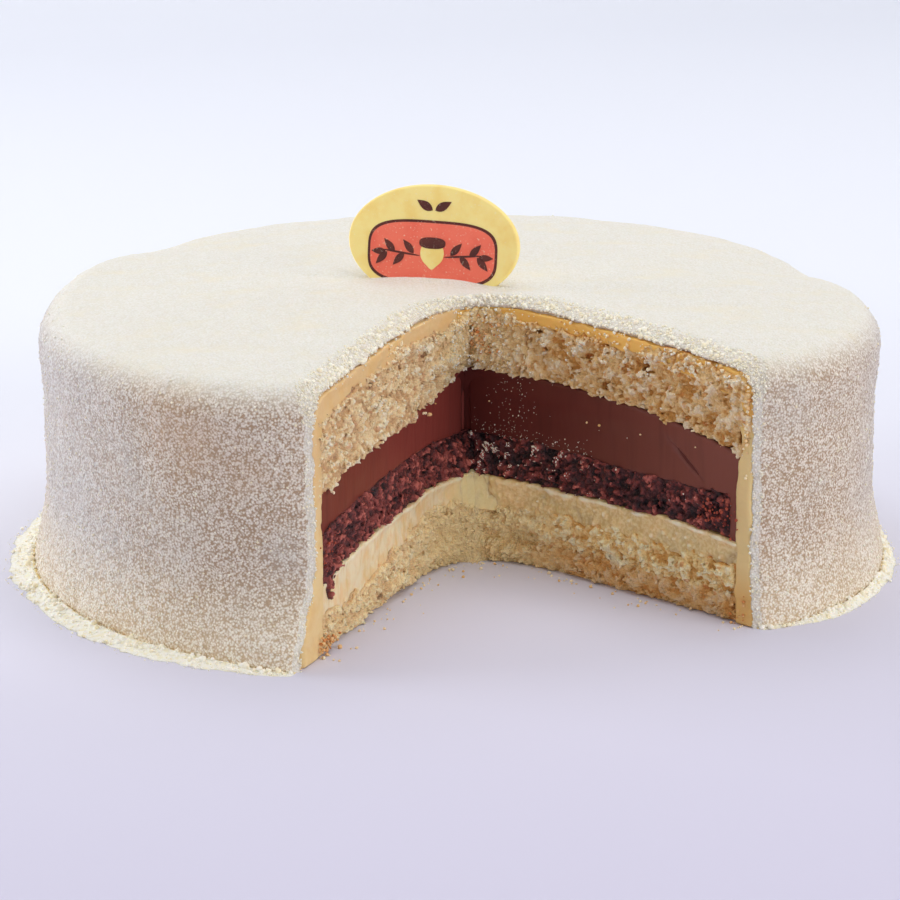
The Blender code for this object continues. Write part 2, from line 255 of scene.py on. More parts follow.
def rim_radius(turn):
    lopsided = LOPSIDED * np.cos(angle_at(turn) - LOPSIDED_TOWARDS)
    return RIM_RADIUS + lopsided - PINCH * near_cut(turn)


def reach(turn, radius):
    """Distance from the corner of the wedge to the circle of this radius about the axis."""
    angle = angle_at(turn)
    along = NOTCH_CORNER.x * np.cos(angle) + NOTCH_CORNER.y * np.sin(angle)
    return np.sqrt(radius**2 - NOTCH_CORNER.length_squared + along**2) - along


def core_reach(turn):
    return reach(turn, rim_radius(turn) - COAT_SIDE - ICING_SIDE)


def spread(turn, height):
    """How far the wall stands out at the shoulder and at the foot."""
    from_right = turn * SWEEP / RIGHT_FOOT_SPREAD
    to_left = (1 - turn) * SWEEP / LEFT_FOOT_SPREAD
    foot = FOOT_FLARE * (1 - RIGHT_FOOT_LOSS * np.exp(-from_right))
    foot = foot + LEFT_FOOT_FLARE * np.exp(-to_left * to_left)
    low = np.maximum(0.0, 1 - height / FOOT_HEIGHT)
    high = np.interp(height, SHOULDER_HEIGHTS, (0.0, 1.0))
    return foot * low * low * (3 - 2 * low) + SHOULDER * (1 - near_cut(turn)) * high


def dents(turn):
    angle = np.degrees(angle_at(turn))
    return sum(rise * bell(angle, at, width) for at, width, rise in DENTS)


def crown(turn, where, side, top):
    """Reach and height on the crown, drawn in by side and top.

    Where runs from 0 to 1 over the top, to 2 round the edge and to 3 down the wall.
    """
    rim = rim_radius(turn) + spread(turn, SHOULDER_HEIGHTS[1]) - side
    fillet = CROWN_FILLET - side
    bend = np.clip(where - 1, 0, 1) * math.pi / 2
    radii = (rim - fillet) * np.minimum(where, 1) + fillet * np.sin(bend)
    height = HEIGHT - top - DOME_DROP * (radii / rim) ** DOME_POWER - fillet * (1 - np.cos(bend))
    height = height + dents(turn) * (radii / rim) ** DENT_POWER
    height = height * (1 - np.clip(where - 2, 0, 1))
    out = radii * reach(turn, rim) / rim
    wall = reach(turn, rim_radius(turn) - side) + spread(turn, height)
    return np.where(where > 2, wall, out), height


def nose(height, out):
    """How far the corner bulges forward at this height and reach."""
    near = np.clip(1 - np.maximum(out, 0) / NOSE_REACH, 0, 1)
    return NOSE_LENGTH * np.interp(height, NOSE_HEIGHTS, NOSE_SHARES) * near**2


def way_of(side):
    """Direction of a cut face from the corner outwards, and the direction into the food."""
    angle = angle_at(side)
    way = np.array((math.cos(angle), math.sin(angle)))
    inward = np.array((-way[1], way[0])) if side == RIGHT else np.array((way[1], -way[0]))
    return way, inward


def on_face(side, out, height, depth):
    """Points of a cut face, this deep in the food. Its outer end follows the wall round."""
    back = np.maximum(depth, 0) / np.maximum(out, LEAST_OUT) / SWEEP
    out = out * core_reach(back if side == RIGHT else 1 - back) / core_reach(float(side))
    way, inward = way_of(side)
    x = CORNER.x + way[0] * out + inward[0] * depth
    y = CORNER.y + way[1] * out + inward[1] * depth - nose(height, out)
    return np.stack([x, y, height], -1)


def level(name, side, out):
    """Height of the top of a layer along a cut face."""
    heights = LEVELS[name][side]
    whole = core_reach(float(side))
    shares = np.clip(out / whole, 0, 1)
    even = np.polyval(np.polyfit(SHARES, heights, len(SHARES) - 1), shares)
    way = Vector((*way_of(side)[0], 0.0)) * whole
    lift = Vector((0, 0, heights[0]))
    waves = [noise.noise((way * s + lift) / LEVEL_WAVE_LENGTH) * NOISE_GAIN for s in shares]
    return even + LEVEL_WAVE * np.array(waves) * np.minimum(1.0, shares * len(SHARES))


# Meshes


def surface_net(field):
    """Closed skin of quads round the positive cells of a field: points in cells, and quads."""
    field = np.pad(field, 1, constant_values=-NOTHING)
    inside = field > 0
    corners = list(product((0, 1), repeat=3))
    shape = np.array(field.shape) - 1

    def shifted(array, corner):
        return array[tuple(slice(c, c + n) for c, n in zip(corner, shape))]

    count = sum(shifted(inside, corner).astype(np.int8) for corner in corners)
    crossed = (count > 0) & (count < 8)
    cells = np.argwhere(crossed)
    index = np.full(crossed.shape, -1)
    index[crossed] = np.arange(len(cells))
    values = np.stack([shifted(field, corner)[crossed] for corner in corners], 1)
    total = np.zeros((len(cells), 3))
    hits = np.zeros(len(cells))
    for a, b in product(range(8), repeat=2):
        if a >= b or sum(np.abs(np.subtract(corners[a], corners[b]))) != 1:
            continue
        cross = (values[:, a] > 0) != (values[:, b] > 0)
        share = values[cross, a] / (values[cross, a] - values[cross, b])
        step = np.subtract(corners[b], corners[a])
        total[cross] += np.array(corners[a]) + share[:, None] * step
        hits[cross] += 1
    points = cells + total / hits[:, None] - 1
    quads = []
    for axis in range(3):
        one, two = [a for a in range(3) if a != axis]
        ahead = [slice(None)] * 3
        ahead[axis] = slice(1, None)
        here = [slice(None)] * 3
        here[axis] = slice(0, -1)
        edges = np.argwhere(inside[tuple(here)] != inside[tuple(ahead)])
        leaving = inside[tuple(edges.T)]
        ring = []
        for back_one, back_two in ((0, 0), (1, 0), (1, 1), (0, 1)):
            cell = edges.copy()
            cell[:, one] -= back_one
            cell[:, two] -= back_two
            ring.append(index[tuple(cell.T)])
        ring = np.stack(ring, 1)
        turned = leaving if axis != 1 else ~leaving
        quads.append(np.where(turned[:, None], ring, ring[:, ::-1]))
    return points, np.concatenate(quads)


def joined(inside, first):
    """The inside cells that hang together with those of the first or the last layer of the block."""
    held = np.zeros(inside.shape, bool)
    held[:, :, first] = inside[:, :, first]
    while True:
        grown = held.copy()
        for axis in range(3):
            low = [slice(None)] * 3
            high = [slice(None)] * 3
            low[axis], high[axis] = slice(0, -1), slice(1, None)
            grown[tuple(high)] |= held[tuple(low)]
            grown[tuple(low)] |= held[tuple(high)]
        grown &= inside
        if (grown == held).all():
            return held
        held = grown


def compact(points, faces):
    """Keep only the points that the faces use: their numbers, and the faces by the new ones."""
    used = np.unique(faces)
    new = np.full(len(points), -1)
    new[used] = np.arange(len(used))
    return used, new[faces]


def show(name, data):
    thing = bpy.data.objects.new(name, data)
    bpy.context.scene.collection.objects.link(thing)
    return thing


def add_mesh(name, points, face_sets, look, tones=None, cap=False):
    """One piece riding on the cake, with its tones kept on its points for its material."""
    data = bpy.data.meshes.new(name)
    corners = np.concatenate([np.ravel(faces) for faces in face_sets])
    counts = np.concatenate([np.full(len(faces), np.shape(faces)[1]) for faces in face_sets])
    data.vertices.add(len(points))
    data.vertices.foreach_set("co", np.asarray(points, np.float32).ravel())
    data.loops.add(len(corners))
    data.loops.foreach_set("vertex_index", corners.astype(np.int32))
    data.polygons.add(len(counts))
    data.polygons.foreach_set("loop_start", (np.cumsum(counts) - counts).astype(np.int32))
    data.update(calc_edges=True)
    for tone, values in (tones or {}).items():
        data.attributes.new(tone, "FLOAT", "POINT").data.foreach_set("value", values.astype(np.float32))
    if cap:
        mesh = bmesh.new()
        mesh.from_mesh(data)
        rims = [edge for edge in mesh.edges if edge.is_boundary]
        filled = bmesh.ops.holes_fill(mesh, edges=rims, sides=0)
        bmesh.ops.triangulate(mesh, faces=filled["faces"])
        mesh.to_mesh(data)
        mesh.free()
    data.polygons.foreach_set("use_smooth", np.full(len(data.polygons), True))
    data.materials.append(look)
    data.update()
    thing = show(name, data)
    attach(thing, "root")
    return thing


# Carving of the cut faces


class Block:
    """The small cells that a layer's front is carved from: out from the corner, up, and into the food."""

    def __init__(self, side, span, depth, cell):
        self.side, self.cell = side, cell
        self.reach = float(core_reach(float(side)))
        self.out = np.arange(-BEHIND_CORNER, self.reach + PAST_WALL, cell)
        self.height = np.arange(span[0] - SPAN_MARGIN, span[1] + SPAN_MARGIN, cell)
        self.deep = np.arange(-IN_FRONT, depth + cell / 2, cell)
        self.far, self.up, self.back = np.ix_(self.out, self.height, self.deep)
        self.share = self.far / self.reach

    def grid(self):
        return np.stack(np.meshgrid(self.out, self.height, self.deep, indexing="ij"), -1)

    def along_face(self, length, seed, stretch=(1.0, 1.0)):
        """Noise that changes over the face but not into the food."""
        axes = np.broadcast_arrays(self.far[..., 0] * stretch[0], self.up[..., 0] * stretch[1], 0.0)
        return grain(np.stack(axes, -1), length, seed + 0.5 * self.side)[..., None]

    def along_edge(self, length, seed):
        """Noise that changes along a layer's edge and into the food."""
        axes = np.broadcast_arrays(self.far[:, 0], 0.0, self.back[:, 0])
        return grain(np.stack(axes, -1), length, seed + 0.5 * self.side)[:, None]

    def level(self, name):
        return level(name, self.side, self.out)[:, None, None]

    def crags(self):
        """The solids' own uneven depth, about -1 to 1, sampled coarsely and filled in."""
        out = np.arange(self.out[0], self.out[-1] + 0.002, CRAG_STEP)
        height = np.arange(self.height[0], self.height[-1] + 0.002, CRAG_STEP)
        rough = np.zeros((len(out), len(height)))
        for i, j in np.ndindex(rough.shape):
            at = Vector((out[i], height[j], 3.0 * self.side)) / CRAG_LENGTH
            rough[i, j] = (noise.noise(at) + 0.5 * noise.noise(at * 2)) * NOISE_GAIN
        rough *= np.clip(out / LEAST_OUT, 0, 1)[:, None]
        by_out = np.stack([np.interp(self.out, out, column) for column in rough.T], 1)
        return np.stack([np.interp(self.height, height, row) for row in by_out])[..., None]

    def bulge(self):
        """How far the ganache bulges out over the icing at the upper end of the right cut."""
        return BULGE * (self.side == RIGHT) * bell(self.up, BULGE_HEIGHT, 0.0038)

    def under_crown(self, side, top):
        """How far inside the crown, drawn in by these amounts, each cell lies."""
        where = np.linspace(0, 3, 241)
        out, height = crown(float(self.side), where, side, top)
        roof = np.interp(self.out, out[where < 1.5], height[where < 1.5])
        wall = np.interp(self.height, height[::-1], out[::-1])
        return np.minimum(roof[:, None, None] - self.up, wall[None, :, None] - self.far)

    def carve(self, field, face):
        """The front's points, its quads, and how far out and how deep under the face its points lie."""
        solid = joined(field > 0, -1)
        air = joined(~solid, 0)
        field = np.where(air & (field > 0), -NOTHING, np.where(air | (field > 0), field, NOTHING))
        points, quads = surface_net(field)
        out, height, deep = (points * self.cell + (self.out[0], self.height[0], self.deep[0])).T
        quads = quads[~(deep > self.deep[-1])[quads].all(1)]
        used, quads = compact(points, quads)
        at = np.clip(np.rint(points[used, :2]).astype(int), 0, np.array(field.shape[:2]) - 1)
        pit = deep[used] - np.broadcast_to(face, field.shape)[at[:, 0], at[:, 1], 0]
        return on_face(self.side, out[used], height[used], deep[used]), quads, out[used], pit


def crumble(block, solid, size, clump, hollow, bubble, seed):
    """Open crumb: small round lumps in uneven clumps, over a hollowed core with bubbles in it."""
    grid = block.grid()
    uneven = block.along_face(clump, seed) + 0.5 * block.along_face(clump / 2, seed + 1)
    clumps = np.clip(balls(grid, 0.75 * clump, 0.15 * clump, 0.42 * clump, seed + 4), -0.0005, 0.0014)
    solid = solid - hollow * (uneven + 0.3) + 0.7 * clumps
    solid = np.minimum(solid, -balls(grid, 0.0075, -0.0006, bubble, seed))
    lumps = balls(grid, size, 0.30 * size, 0.60 * size, seed + 2, solid, -0.15 * size)
    body = soft_max(solid - 0.55 * size, lumps, 0.00008)
    return body + 0.00012 * grain(grid, 0.0009, seed + 3)


def top_sponge_field(block):
    low, high = block.level("ganache"), block.level("top_sponge")
    spill = np.interp(block.share, *SPILL[block.side])
    over = smooth(block.up - high, -0.0010, 0.0004) * smooth(spill, 0.0, 0.0012)
    face = 0.0010 * block.crags() - 0.0003 - 0.0010 * over
    body = crumble(block, block.back - face,
                   size=0.00120, clump=0.0046, hollow=0.0008, bubble=0.0018, seed=10)
    teeth = 0.0010 * block.along_edge(0.0022, 21) + 0.0012 * block.along_edge(0.0060, 22)
    teeth = teeth + 0.0007 * block.along_face(0.0017, 24)
    edge = np.minimum(block.up - low + teeth, high + spill - block.up + teeth)
    edge = np.minimum(edge, block.under_crown(COAT_SIDE, ICING_UNDER - 0.0004))
    over_band = 0.0016 + SPILL_OUT * (block.side == RIGHT) * smooth(block.up, 0.054, 0.058)
    end = teeth + 0.0012 * block.along_face(0.0040, 23)
    edge = np.minimum(edge, block.reach + over_band - block.far + end)
    return soft_min(body, edge, 0.0003), face


def chocolate_field(block):
    low, high = block.level("cream"), block.level("chocolate_sponge")
    drip = (block.side == LEFT) * bell(block.share, 0.955, 0.026)
    face = 0.0009 * block.crags() - 0.0002 - 0.0008 * drip
    body = crumble(block, block.back - face,
                   size=0.00125, clump=0.0036, hollow=0.0010, bubble=0.0012, seed=30)
    teeth = 0.0008 * block.along_edge(0.0020, 31) + 0.0006 * block.along_edge(0.0050, 32)
    edge = np.minimum(block.up - low + 0.0062 * drip, high - block.up) + teeth
    end = teeth + 0.0010 * block.along_face(0.0040, 33)
    edge = np.minimum(edge, block.reach - SKIRT * (block.side == RIGHT) - block.far + end)
    return soft_min(body, edge, 0.0003), face


def bottom_sponge_field(block):
    high = block.level("bottom_sponge")
    rise = block.up / high
    right = block.side == RIGHT
    ledge = bell(rise, 0.86, 0.14) * smooth(block.share, 0.0, 0.05)
    recess = bell(rise, 0.52, 0.12) * (bell(block.share, 0.16, 0.15) + 0.8 * bell(block.share, 0.46, 0.12))
    undercut = np.clip(1 - block.up / 0.004, 0, 1)
    hollows = bell(block.share, 0.075, 0.045) + 0.6 * bell(block.share, 0.25, 0.03)
    hollow = right * bell(rise, 0.95, 0.10) * hollows
    over = smooth(block.up - high, -0.0012, 0.0002) * (1 - hollow)
    face = 0.0009 * block.crags() + 0.0005 * block.along_face(0.008, 54)
    face = face + 0.0016 * undercut - 0.0006 * over + 0.0026 * hollow
    face = face + (0.4 + 0.6 * right) * (0.0024 * recess - 0.0012 * ledge)
    body = crumble(block, block.back - face,
                   size=0.00125, clump=0.0040, hollow=0.0008, bubble=0.0014, seed=50)
    patches = 0.0005 + 0.0028 * np.clip(block.along_face(0.0045, 51, (1.0, 0.6)) + 0.15, 0, 1)
    patches = patches + right * 0.0014 * np.clip(block.along_face(0.0026, 55) + 0.6, 0, 1)
    patches = patches + 0.0007 * block.along_edge(0.0020, 52)
    edge = np.where(block.up < 0.003, block.up, high + patches - block.up)
    edge = np.minimum(edge, block.reach - 0.0008 - block.far + 0.0009 * block.along_face(0.0035, 53))
    return soft_min(body, edge, 0.0003), face


def cream_field(block):
    low, high = block.level("bottom_sponge"), block.level("cream")
    right = block.side == RIGHT
    strokes = 0.00030 * (1 - right) * block.along_face(0.0017, 60, (1.0, 0.3))
    below = high - block.up
    granules = np.clip(balls(block.grid(), 0.0021, 0.0004, 0.0011, 67), -0.0003, 0.0007)
    lumps = 0.0003 * block.along_face(0.0030, 61) - granules * (0.3 + 0.7 * smooth(below, 0.001, 0.004))
    lip = (0.0006 + 0.0005 * right * block.along_face(0.0040, 66)) * bell(below, 0.0007, 0.0008)
    smear = right * bell(block.share, 0.12, 0.07) * np.clip(1 - below / 0.008, 0, 1)
    crease = bell(block.share, 0.035, 0.018) + 0.7 * right * bell(block.share, 0.075, 0.010)
    relief = strokes + right * lumps - lip + 0.0010 * crease
    face = 0.0005 + 0.0005 * block.along_face(0.009, 62) - 0.0020 * smear
    edge = np.minimum(block.up - low + 0.0003, high + 0.0001 - block.up)
    edge = np.minimum(edge + 0.0004 * block.along_edge(0.0026, 64), block.reach - block.far)
    return soft_min(block.back - face - relief, edge, 0.0006), face


def ganache_field(block):
    inside_skirt = block.far < block.reach - SKIRT
    low = np.where(inside_skirt, block.level("chocolate_sponge"), block.level("cream"))
    high = block.level("ganache")
    face = 0.0006 + 0.00004 * block.along_face(0.0014, 70, (1.0, 0.10)) + 0.0002 * block.along_face(0.012, 72)
    face = face + 0.0009 * bell(block.far, 0.0002, 0.0008) - 0.25 * block.bulge()
    (x, y), (x_end, y_end) = SCRATCH
    length = math.hypot(x_end - x, y_end - y)
    along = ((block.far - x) * (x_end - x) + (block.up - y) * (y_end - y)) / length
    beside = ((block.far - x) * (y_end - y) - (block.up - y) * (x_end - x)) / length
    scratch = bell(beside, 0, 0.00050) * bell(along, length / 2, length / 2.2) * (block.side == RIGHT)
    edge = np.minimum(block.up - low + 0.0006, high + 0.0004 - block.up)
    edge = np.minimum(edge, block.reach + 0.0001 + block.bulge() - block.far)
    return soft_min(block.back - face - 0.0016 * scratch, edge, 0.0004), face


def icing_field(block):
    shell = block.under_crown(COAT_SIDE - 0.0004, ICING_UNDER) + 0.0005 * block.along_edge(0.0045, 84)
    core = np.minimum(block.level("top_sponge") - block.up, block.reach + block.bulge() - block.far)
    core = core - 0.0006 + 0.0006 * block.along_face(0.0050, 83) + 0.0008 * block.along_edge(0.0090, 85)
    face = 0.0001 + 0.00015 * block.along_face(0.0016, 80, (0.3, 1.0)) + 0.0004 * block.along_face(0.010, 82)
    body = np.minimum(np.minimum(shell, -core), block.up)
    return soft_min(block.back - face, body, 0.0003), face


def solid_behind(node, set_back):
    """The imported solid's mesh with its cut faces moved back, so that the carved fronts cover it."""
    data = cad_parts[node].data
    points = np.zeros(len(data.vertices) * 3)
    data.vertices.foreach_get("co", points)
    points = points.reshape(-1, 3)
    for side in (RIGHT, LEFT):
        way, inward = way_of(side)
        flat = points[:, :2] - CORNER.xy
        out = flat @ way
        depth = (flat + np.stack([0 * out, nose(points[:, 2], out)], 1)) @ inward
        near = (out > -0.002) & (np.abs(depth) < set_back)
        points[near, :2] += (set_back - depth[near])[:, None] * inward
    data.calc_loop_triangles()
    faces = np.zeros(len(data.loop_triangles) * 3, int)
    data.loop_triangles.foreach_get("vertices", faces)
    return points, faces.reshape(-1, 3)


def dress_layer(node, look, span, field_of, crumb=False):
    """Replace a packed layer by its solid with a carved front on each cut face; returns the fronts."""
    depth, cell = (CRUMB_DEPTH, CRUMB_CELL) if crumb else (SMOOTH_DEPTH, SMOOTH_CELL)
    points, triangles = solid_behind(node, depth - OVERLAP)
    parts, face_sets, tones = [points], [triangles], [np.zeros((len(points), 3))]
    for side in (RIGHT, LEFT):
        block = Block(side, span, depth, cell)
        world, quads, out, pit = block.carve(*field_of(block))
        face_sets.append(quads + sum(map(len, parts)))
        parts.append(world)
        tones.append(np.stack([pit, out, np.full(len(out), float(side))], 1))
    points, tones = np.concatenate(parts), np.concatenate(tones)
    by_name = dict(zip(("pit", "out", "side"), tones.T))
    piece = add_mesh(node + "_piece", points, face_sets, look, by_name, cap=True)
    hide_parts(node)
    fronts = np.concatenate(face_sets[1:])
    return points, np.concatenate([fronts[:, :3], fronts[:, [2, 3, 0]]]), by_name


# Powder coat


def edge_turn(where, side, depth):
    """Where round the cake the powder's broken edge lies; depth runs from 0 outside to 1 at the icing."""
    at = np.stack(np.broadcast_arrays(where * 0.07, side * 0.3, depth * 0.004), -1)
    rough = 0.0004 * grain(at, 0.0021, 90) + 0.0007 * grain(at, 0.0070, 91) + 0.0002 * grain(at, 0.0011, 92)
    slope = np.interp(where, (1.2, 2.0), (EDGE_SLOPE_TOP, EDGE_SLOPE_WALL))
    tucked = 0.0014 * smooth(depth, 0.66, 0.90)
    back = np.maximum(0.0, EDGE_BACK + slope * np.clip(1 - depth / 0.7, 0, 1) ** 1.3 + rough + tucked)
    out = crown(float(side), where, depth * COAT_SIDE, depth * COAT_TOP)[0]
    turned = back / np.maximum(out, LEAST_OUT) / SWEEP
    return turned if side == RIGHT else 1 - turned


def around(turn, out):
    """X and Y of points this far out from the corner of the wedge."""
    angle = angle_at(turn)
    return CORNER.x + np.cos(angle) * out, CORNER.y + np.sin(angle) * out


def top_point(turn, out, height):
    """World points of the crown, which follows the bulge of the corner beside the cuts."""
    beside = 1 - smooth(np.minimum(turn, 1 - turn) * SWEEP, 0.0, 1.3)
    x, y = around(turn, out)
    return np.stack([x, y - nose(height, out) * beside, height], -1)


def broken_edge(where, side, depth):
    turn = edge_turn(where, side, depth)
    return top_point(turn, *crown(turn, where, depth * COAT_SIDE, depth * COAT_TOP))


def bridged(near, near_index, far, far_index):
    """Triangles between two lines of points that run side by side, each with its shares along."""
    opposite = np.searchsorted(far[1:], near[1:], "left")
    one = np.stack([near_index[:-1], far_index[opposite], near_index[1:]], 1)
    opposite = np.searchsorted(near[1:], far[1:], "right")
    two = np.stack([far_index[:-1], far_index[1:], near_index[opposite]], 1)
    return np.concatenate([one, two])


def ring_places(steps):
    """Where rings run on the crown: so many steps over the top, round its edge and down the wall."""
    parts = [part + np.linspace(0, 1, count + 1)[1:] for part, count in enumerate(steps)]
    return np.concatenate([[0.0], *parts])


def normals_of(points, faces):
    """Area-weighted normals of the points of a mesh."""
    corners = points[faces]
    across = np.cross(corners[:, 1] - corners[:, 0], corners[:, 2] - corners[:, 0])
    total = np.zeros(points.shape)
    for corner in range(3):
        np.add.at(total, faces[:, corner], across)
    return total / np.maximum(np.linalg.norm(total, axis=1), 1e-12)[:, None]


def powder_relief(points, wall):
    """Ripples, clumps and grain of the powder; wall is 0 on top and 1 down the side."""
    ripple = 0.00030 * grain(points * (0.5, 1, 0.6), 0.010, 100)
    clumps = 0.00014 * grain(points, 0.0040, 101)
    coarse = 0.40 * wall * np.maximum(0, balls(points, 0.0030, 0.0003, 0.0016, 102))
    fine = (0.00007 + 0.00014 * wall) * grain(points, 0.0017, 103)
    return ripple + clumps + fine + coarse


def powder_skin():
    """The powder's outside: points, faces, where each point lies on the crown, its relief, and the rings."""
    rings, points, where = [], [], []
    for place in ring_places(SKIN_STEPS):
        spacing = SKIN_TOP if place <= 2 else SKIN_WALL
        number = max(40, round(SWEEP * float(crown(0.5, place, 0.0, 0.0)[0]) / spacing))
        turn = np.linspace(edge_turn(place, RIGHT, 0.0), edge_turn(place, LEFT, 0.0), number)
        rings.append((np.linspace(0, 1, number), np.arange(number) + sum(map(len, points))))
        points.append(top_point(turn, *crown(turn, place, 0.0, 0.0)))
        where.append(np.full(number, place))
    faces = np.concatenate([bridged(*inner, *outer) for inner, outer in zip(rings, rings[1:])])
    points, where = np.concatenate(points), np.concatenate(where)
    relief = powder_relief(points, smooth(where, 1.3, 1.9))
    points += normals_of(points, faces) * (relief * np.clip(where * 8, 0, 1))[:, None]
    points[:, 2] = np.maximum(points[:, 2], 0.0) + plaque_heap(points)
    return points, faces, where, relief, rings


def plaque_frame():
    """Place of the plaque: its width along X, its height along Y, its front towards +Z."""
    turned = Matrix.Rotation(PLAQUE_TURN, 4, "Z") @ Matrix.Rotation(math.pi / 2 - PLAQUE_LEAN, 4, "X")
    return Matrix.Translation(AXIS + PLAQUE_CENTRE) @ turned


def plaque_heap(points):
    """Powder heaped against the foot of the plaque, and the crease beside it."""
    along = np.array(plaque_frame().col[0].xy)
    flat = points[:, :2] - (AXIS + PLAQUE_CENTRE).xy
    across, beside = flat @ (-along[1], along[0]), flat @ along
    heap = 0.0015 * np.exp(-((beside / 0.016) ** 4)) * bell(across, -0.002, 0.0032)
    crease = 0.0006 * bell(beside, -0.034, 0.014) * bell(across, -0.003, 0.0011)
    return np.where(points[:, 2] > 0.070, heap - crease, 0.0)


def add_powder_coat(look):
    """The powder in two pieces, top and wall, that share the normals of one whole skin."""
    points, faces, place, relief, rings = powder_skin()
    where, coarse = ring_places(SKIN_STEPS), ring_places(INNER_STEPS)
    parts, edges, lines = [points], [], {}
    for side, end in ((RIGHT, 0), (LEFT, -1)):
        lines[side] = np.array([index[end] for share, index in rings])
        for depth in np.linspace(0, 1, EDGE_ROWS + 1)[1:]:
            index = np.arange(len(where)) + sum(map(len, parts))
            parts.append(broken_edge(where, side, depth))
            strip = bridged(where, lines[side], where, index)
            edges.append(strip if side == RIGHT else strip[:, ::-1])
            lines[side] = index
    inner = []
    for at in coarse:
        turn = np.linspace(edge_turn(at, RIGHT, 1.0), edge_turn(at, LEFT, 1.0), INNER_COLUMNS)
        index = np.arange(len(turn)) + sum(map(len, parts))
        parts.append(top_point(turn, *crown(turn, at, COAT_SIDE, COAT_TOP)))
        inner.append((np.linspace(0, 1, len(turn)), index))
    for outer, further in zip(inner, inner[1:]):
        edges.append(bridged(*outer, *further)[:, ::-1])
    for side, end in ((RIGHT, 0), (LEFT, -1)):
        strip = bridged(where, lines[side], coarse, np.array([index[end] for share, index in inner]))
        edges.append(strip if side == RIGHT else strip[:, ::-1])
    edges.append(bridged(*rings[-1], *inner[-1]))
    whole, edges = np.concatenate(parts), np.concatenate(edges)
    normals = normals_of(whole, np.concatenate([faces, edges]))
    added = len(whole) - len(points)
    pit = np.append(relief / RELIEF_TONE, np.zeros(added))
    tone = np.append(place, np.full(added, EDGE_TONE))
    first_wall = rings[int(np.searchsorted(where, WALL_STARTS))][1]
    top_faces = faces[faces.max(1) <= first_wall[-1]]
    wall_faces = faces[faces.min(1) >= first_wall[0]]
    for name, chosen in (("powder_top", top_faces), ("powder_wall", np.concatenate([wall_faces, edges]))):
        used, chosen = compact(whole, chosen)
        piece = add_mesh(name, whole[used], [chosen], look, {"pit": pit[used], "where": tone[used]})
        piece.data.normals_split_custom_set_from_vertices(normals[used].tolist())
        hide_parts("powder_coat")
    return points, faces, place


# Powder on the ground, with the inner foot that it has under the wall

MOUND_HEIGHT = 0.0017
MOUND_ENDS = (0.002, 0.998)
MOUND_ROOT = -0.0015
MOUND_ROOT_HEIGHT = 0.0004


def drift_size(turn):
    """Width and height of the powder lying round the foot, narrow beside the cuts and broad on the left."""
    angle = angle_at(turn)
    at = np.stack([np.cos(angle) * RIM_RADIUS, np.sin(angle) * RIM_RADIUS, 0 * angle], -1)
    nearest = np.minimum(turn, 1 - turn) * SWEEP
    wide = DRIFT_WIDTH + DRIFT_LOPSIDED * np.cos(angle - DRIFT_TOWARDS)
    wide = wide * (1 + 0.14 * grain(at, 0.0035, 110) + 0.20 * grain(at, 0.011, 111))
    high = MOUND_HEIGHT * (1 + 0.4 * grain(at, 0.014, 112))
    beside = 0.30 + 0.70 * smooth(nearest, 0.0, 0.30)
    return wide * beside, high * beside


def on_ground(turn, step, height):
    """Points this far beyond the wall's foot."""
    return np.stack([*around(turn, crown(turn, 3.0, 0.0, 0.0)[0] + step), height], -1)


def drift_point(turn, share):
    """Points of the drift's surface; share runs from 0 at the wall to 1 where it ends."""
    wide, high = drift_size(turn)
    mound = high * (0.45 + 0.55 * smooth(share, 0.0, 0.12)) * np.clip(1 - share, 0, 1) ** 1.3
    flat = on_ground(turn, share * wide, 0 * turn)
    rough = 0.5 * np.maximum(0, balls(flat, 0.0024, 0.0003, 0.0011, 113)) + 0.0001 * grain(flat, 0.0017, 114)
    flat[..., 2] = np.maximum(mound + rough * np.clip(1.6 - 1.6 * share, 0, 1), 0.0)
    return flat


def add_drift(look):
    """The powder's drift as one closed ring of rows, open at the cuts, with a flat underside."""
    count = 1050
    shares = np.linspace(0.0, 1.0, 17)
    turn = np.linspace(*MOUND_ENDS, count)
    rows = [on_ground(turn, MOUND_ROOT, height + 0 * turn) for height in (0, MOUND_ROOT_HEIGHT)]
    rows += [drift_point(turn, share) for share in shares]
    by_row = np.append([1.0, 1.0], 1 - smooth(shares, 0.0, 0.22))
    index = np.arange(len(rows) * count).reshape(len(rows), count)
    beyond = np.roll(index, -1, axis=0)
    quads = np.stack([index[:, :-1], beyond[:, :-1], beyond[:, 1:], index[:, 1:]], -1).reshape(-1, 4)
    tones = {"pit": np.repeat(by_row, count)}
    piece = add_mesh("foot_drift", np.concatenate(rows), [quads], look, tones, cap=True)


def add_drift_clumps(look):
    """Loose clumps on the drift and round it, thinning outwards."""
    for name, kind, number, least, most, strewn, seed in (
        ("foot_clumps", TWENTY_FACES, 800, 0.00026, 0.0009, 0.50, 41),
        ("foot_grains", EIGHT_FACES, 2200, 0.00016, 0.00034, 0.70, 42),
    ):
        draw = np.random.default_rng(seed)
        number = number
        turn = draw.uniform(0.003, 0.997, number)
        share = np.minimum(np.abs(draw.normal(size=number)) * strewn, 1.20)
        sizes = least + (most - least) * draw.random(number) ** 2.4
        sizes *= np.clip(1.5 - 0.5 * share, 0.6, 1.3)
        places = drift_point(turn, share)
        places[:, 2] += 0.20 * sizes
        places[:, 2] = np.maximum(places[:, 2], 0.60 * sizes)
        add_lumps(name, places, sizes, kind, look, seed)


# Loose grains and crumbs


def arrays_of(mesh):
    """Points and faces of a bmesh, which is then freed."""
    points = np.array([vertex.co[:] for vertex in mesh.verts])
    faces = np.array([[vertex.index for vertex in face.verts] for face in mesh.faces])
    mesh.free()
    return points, faces


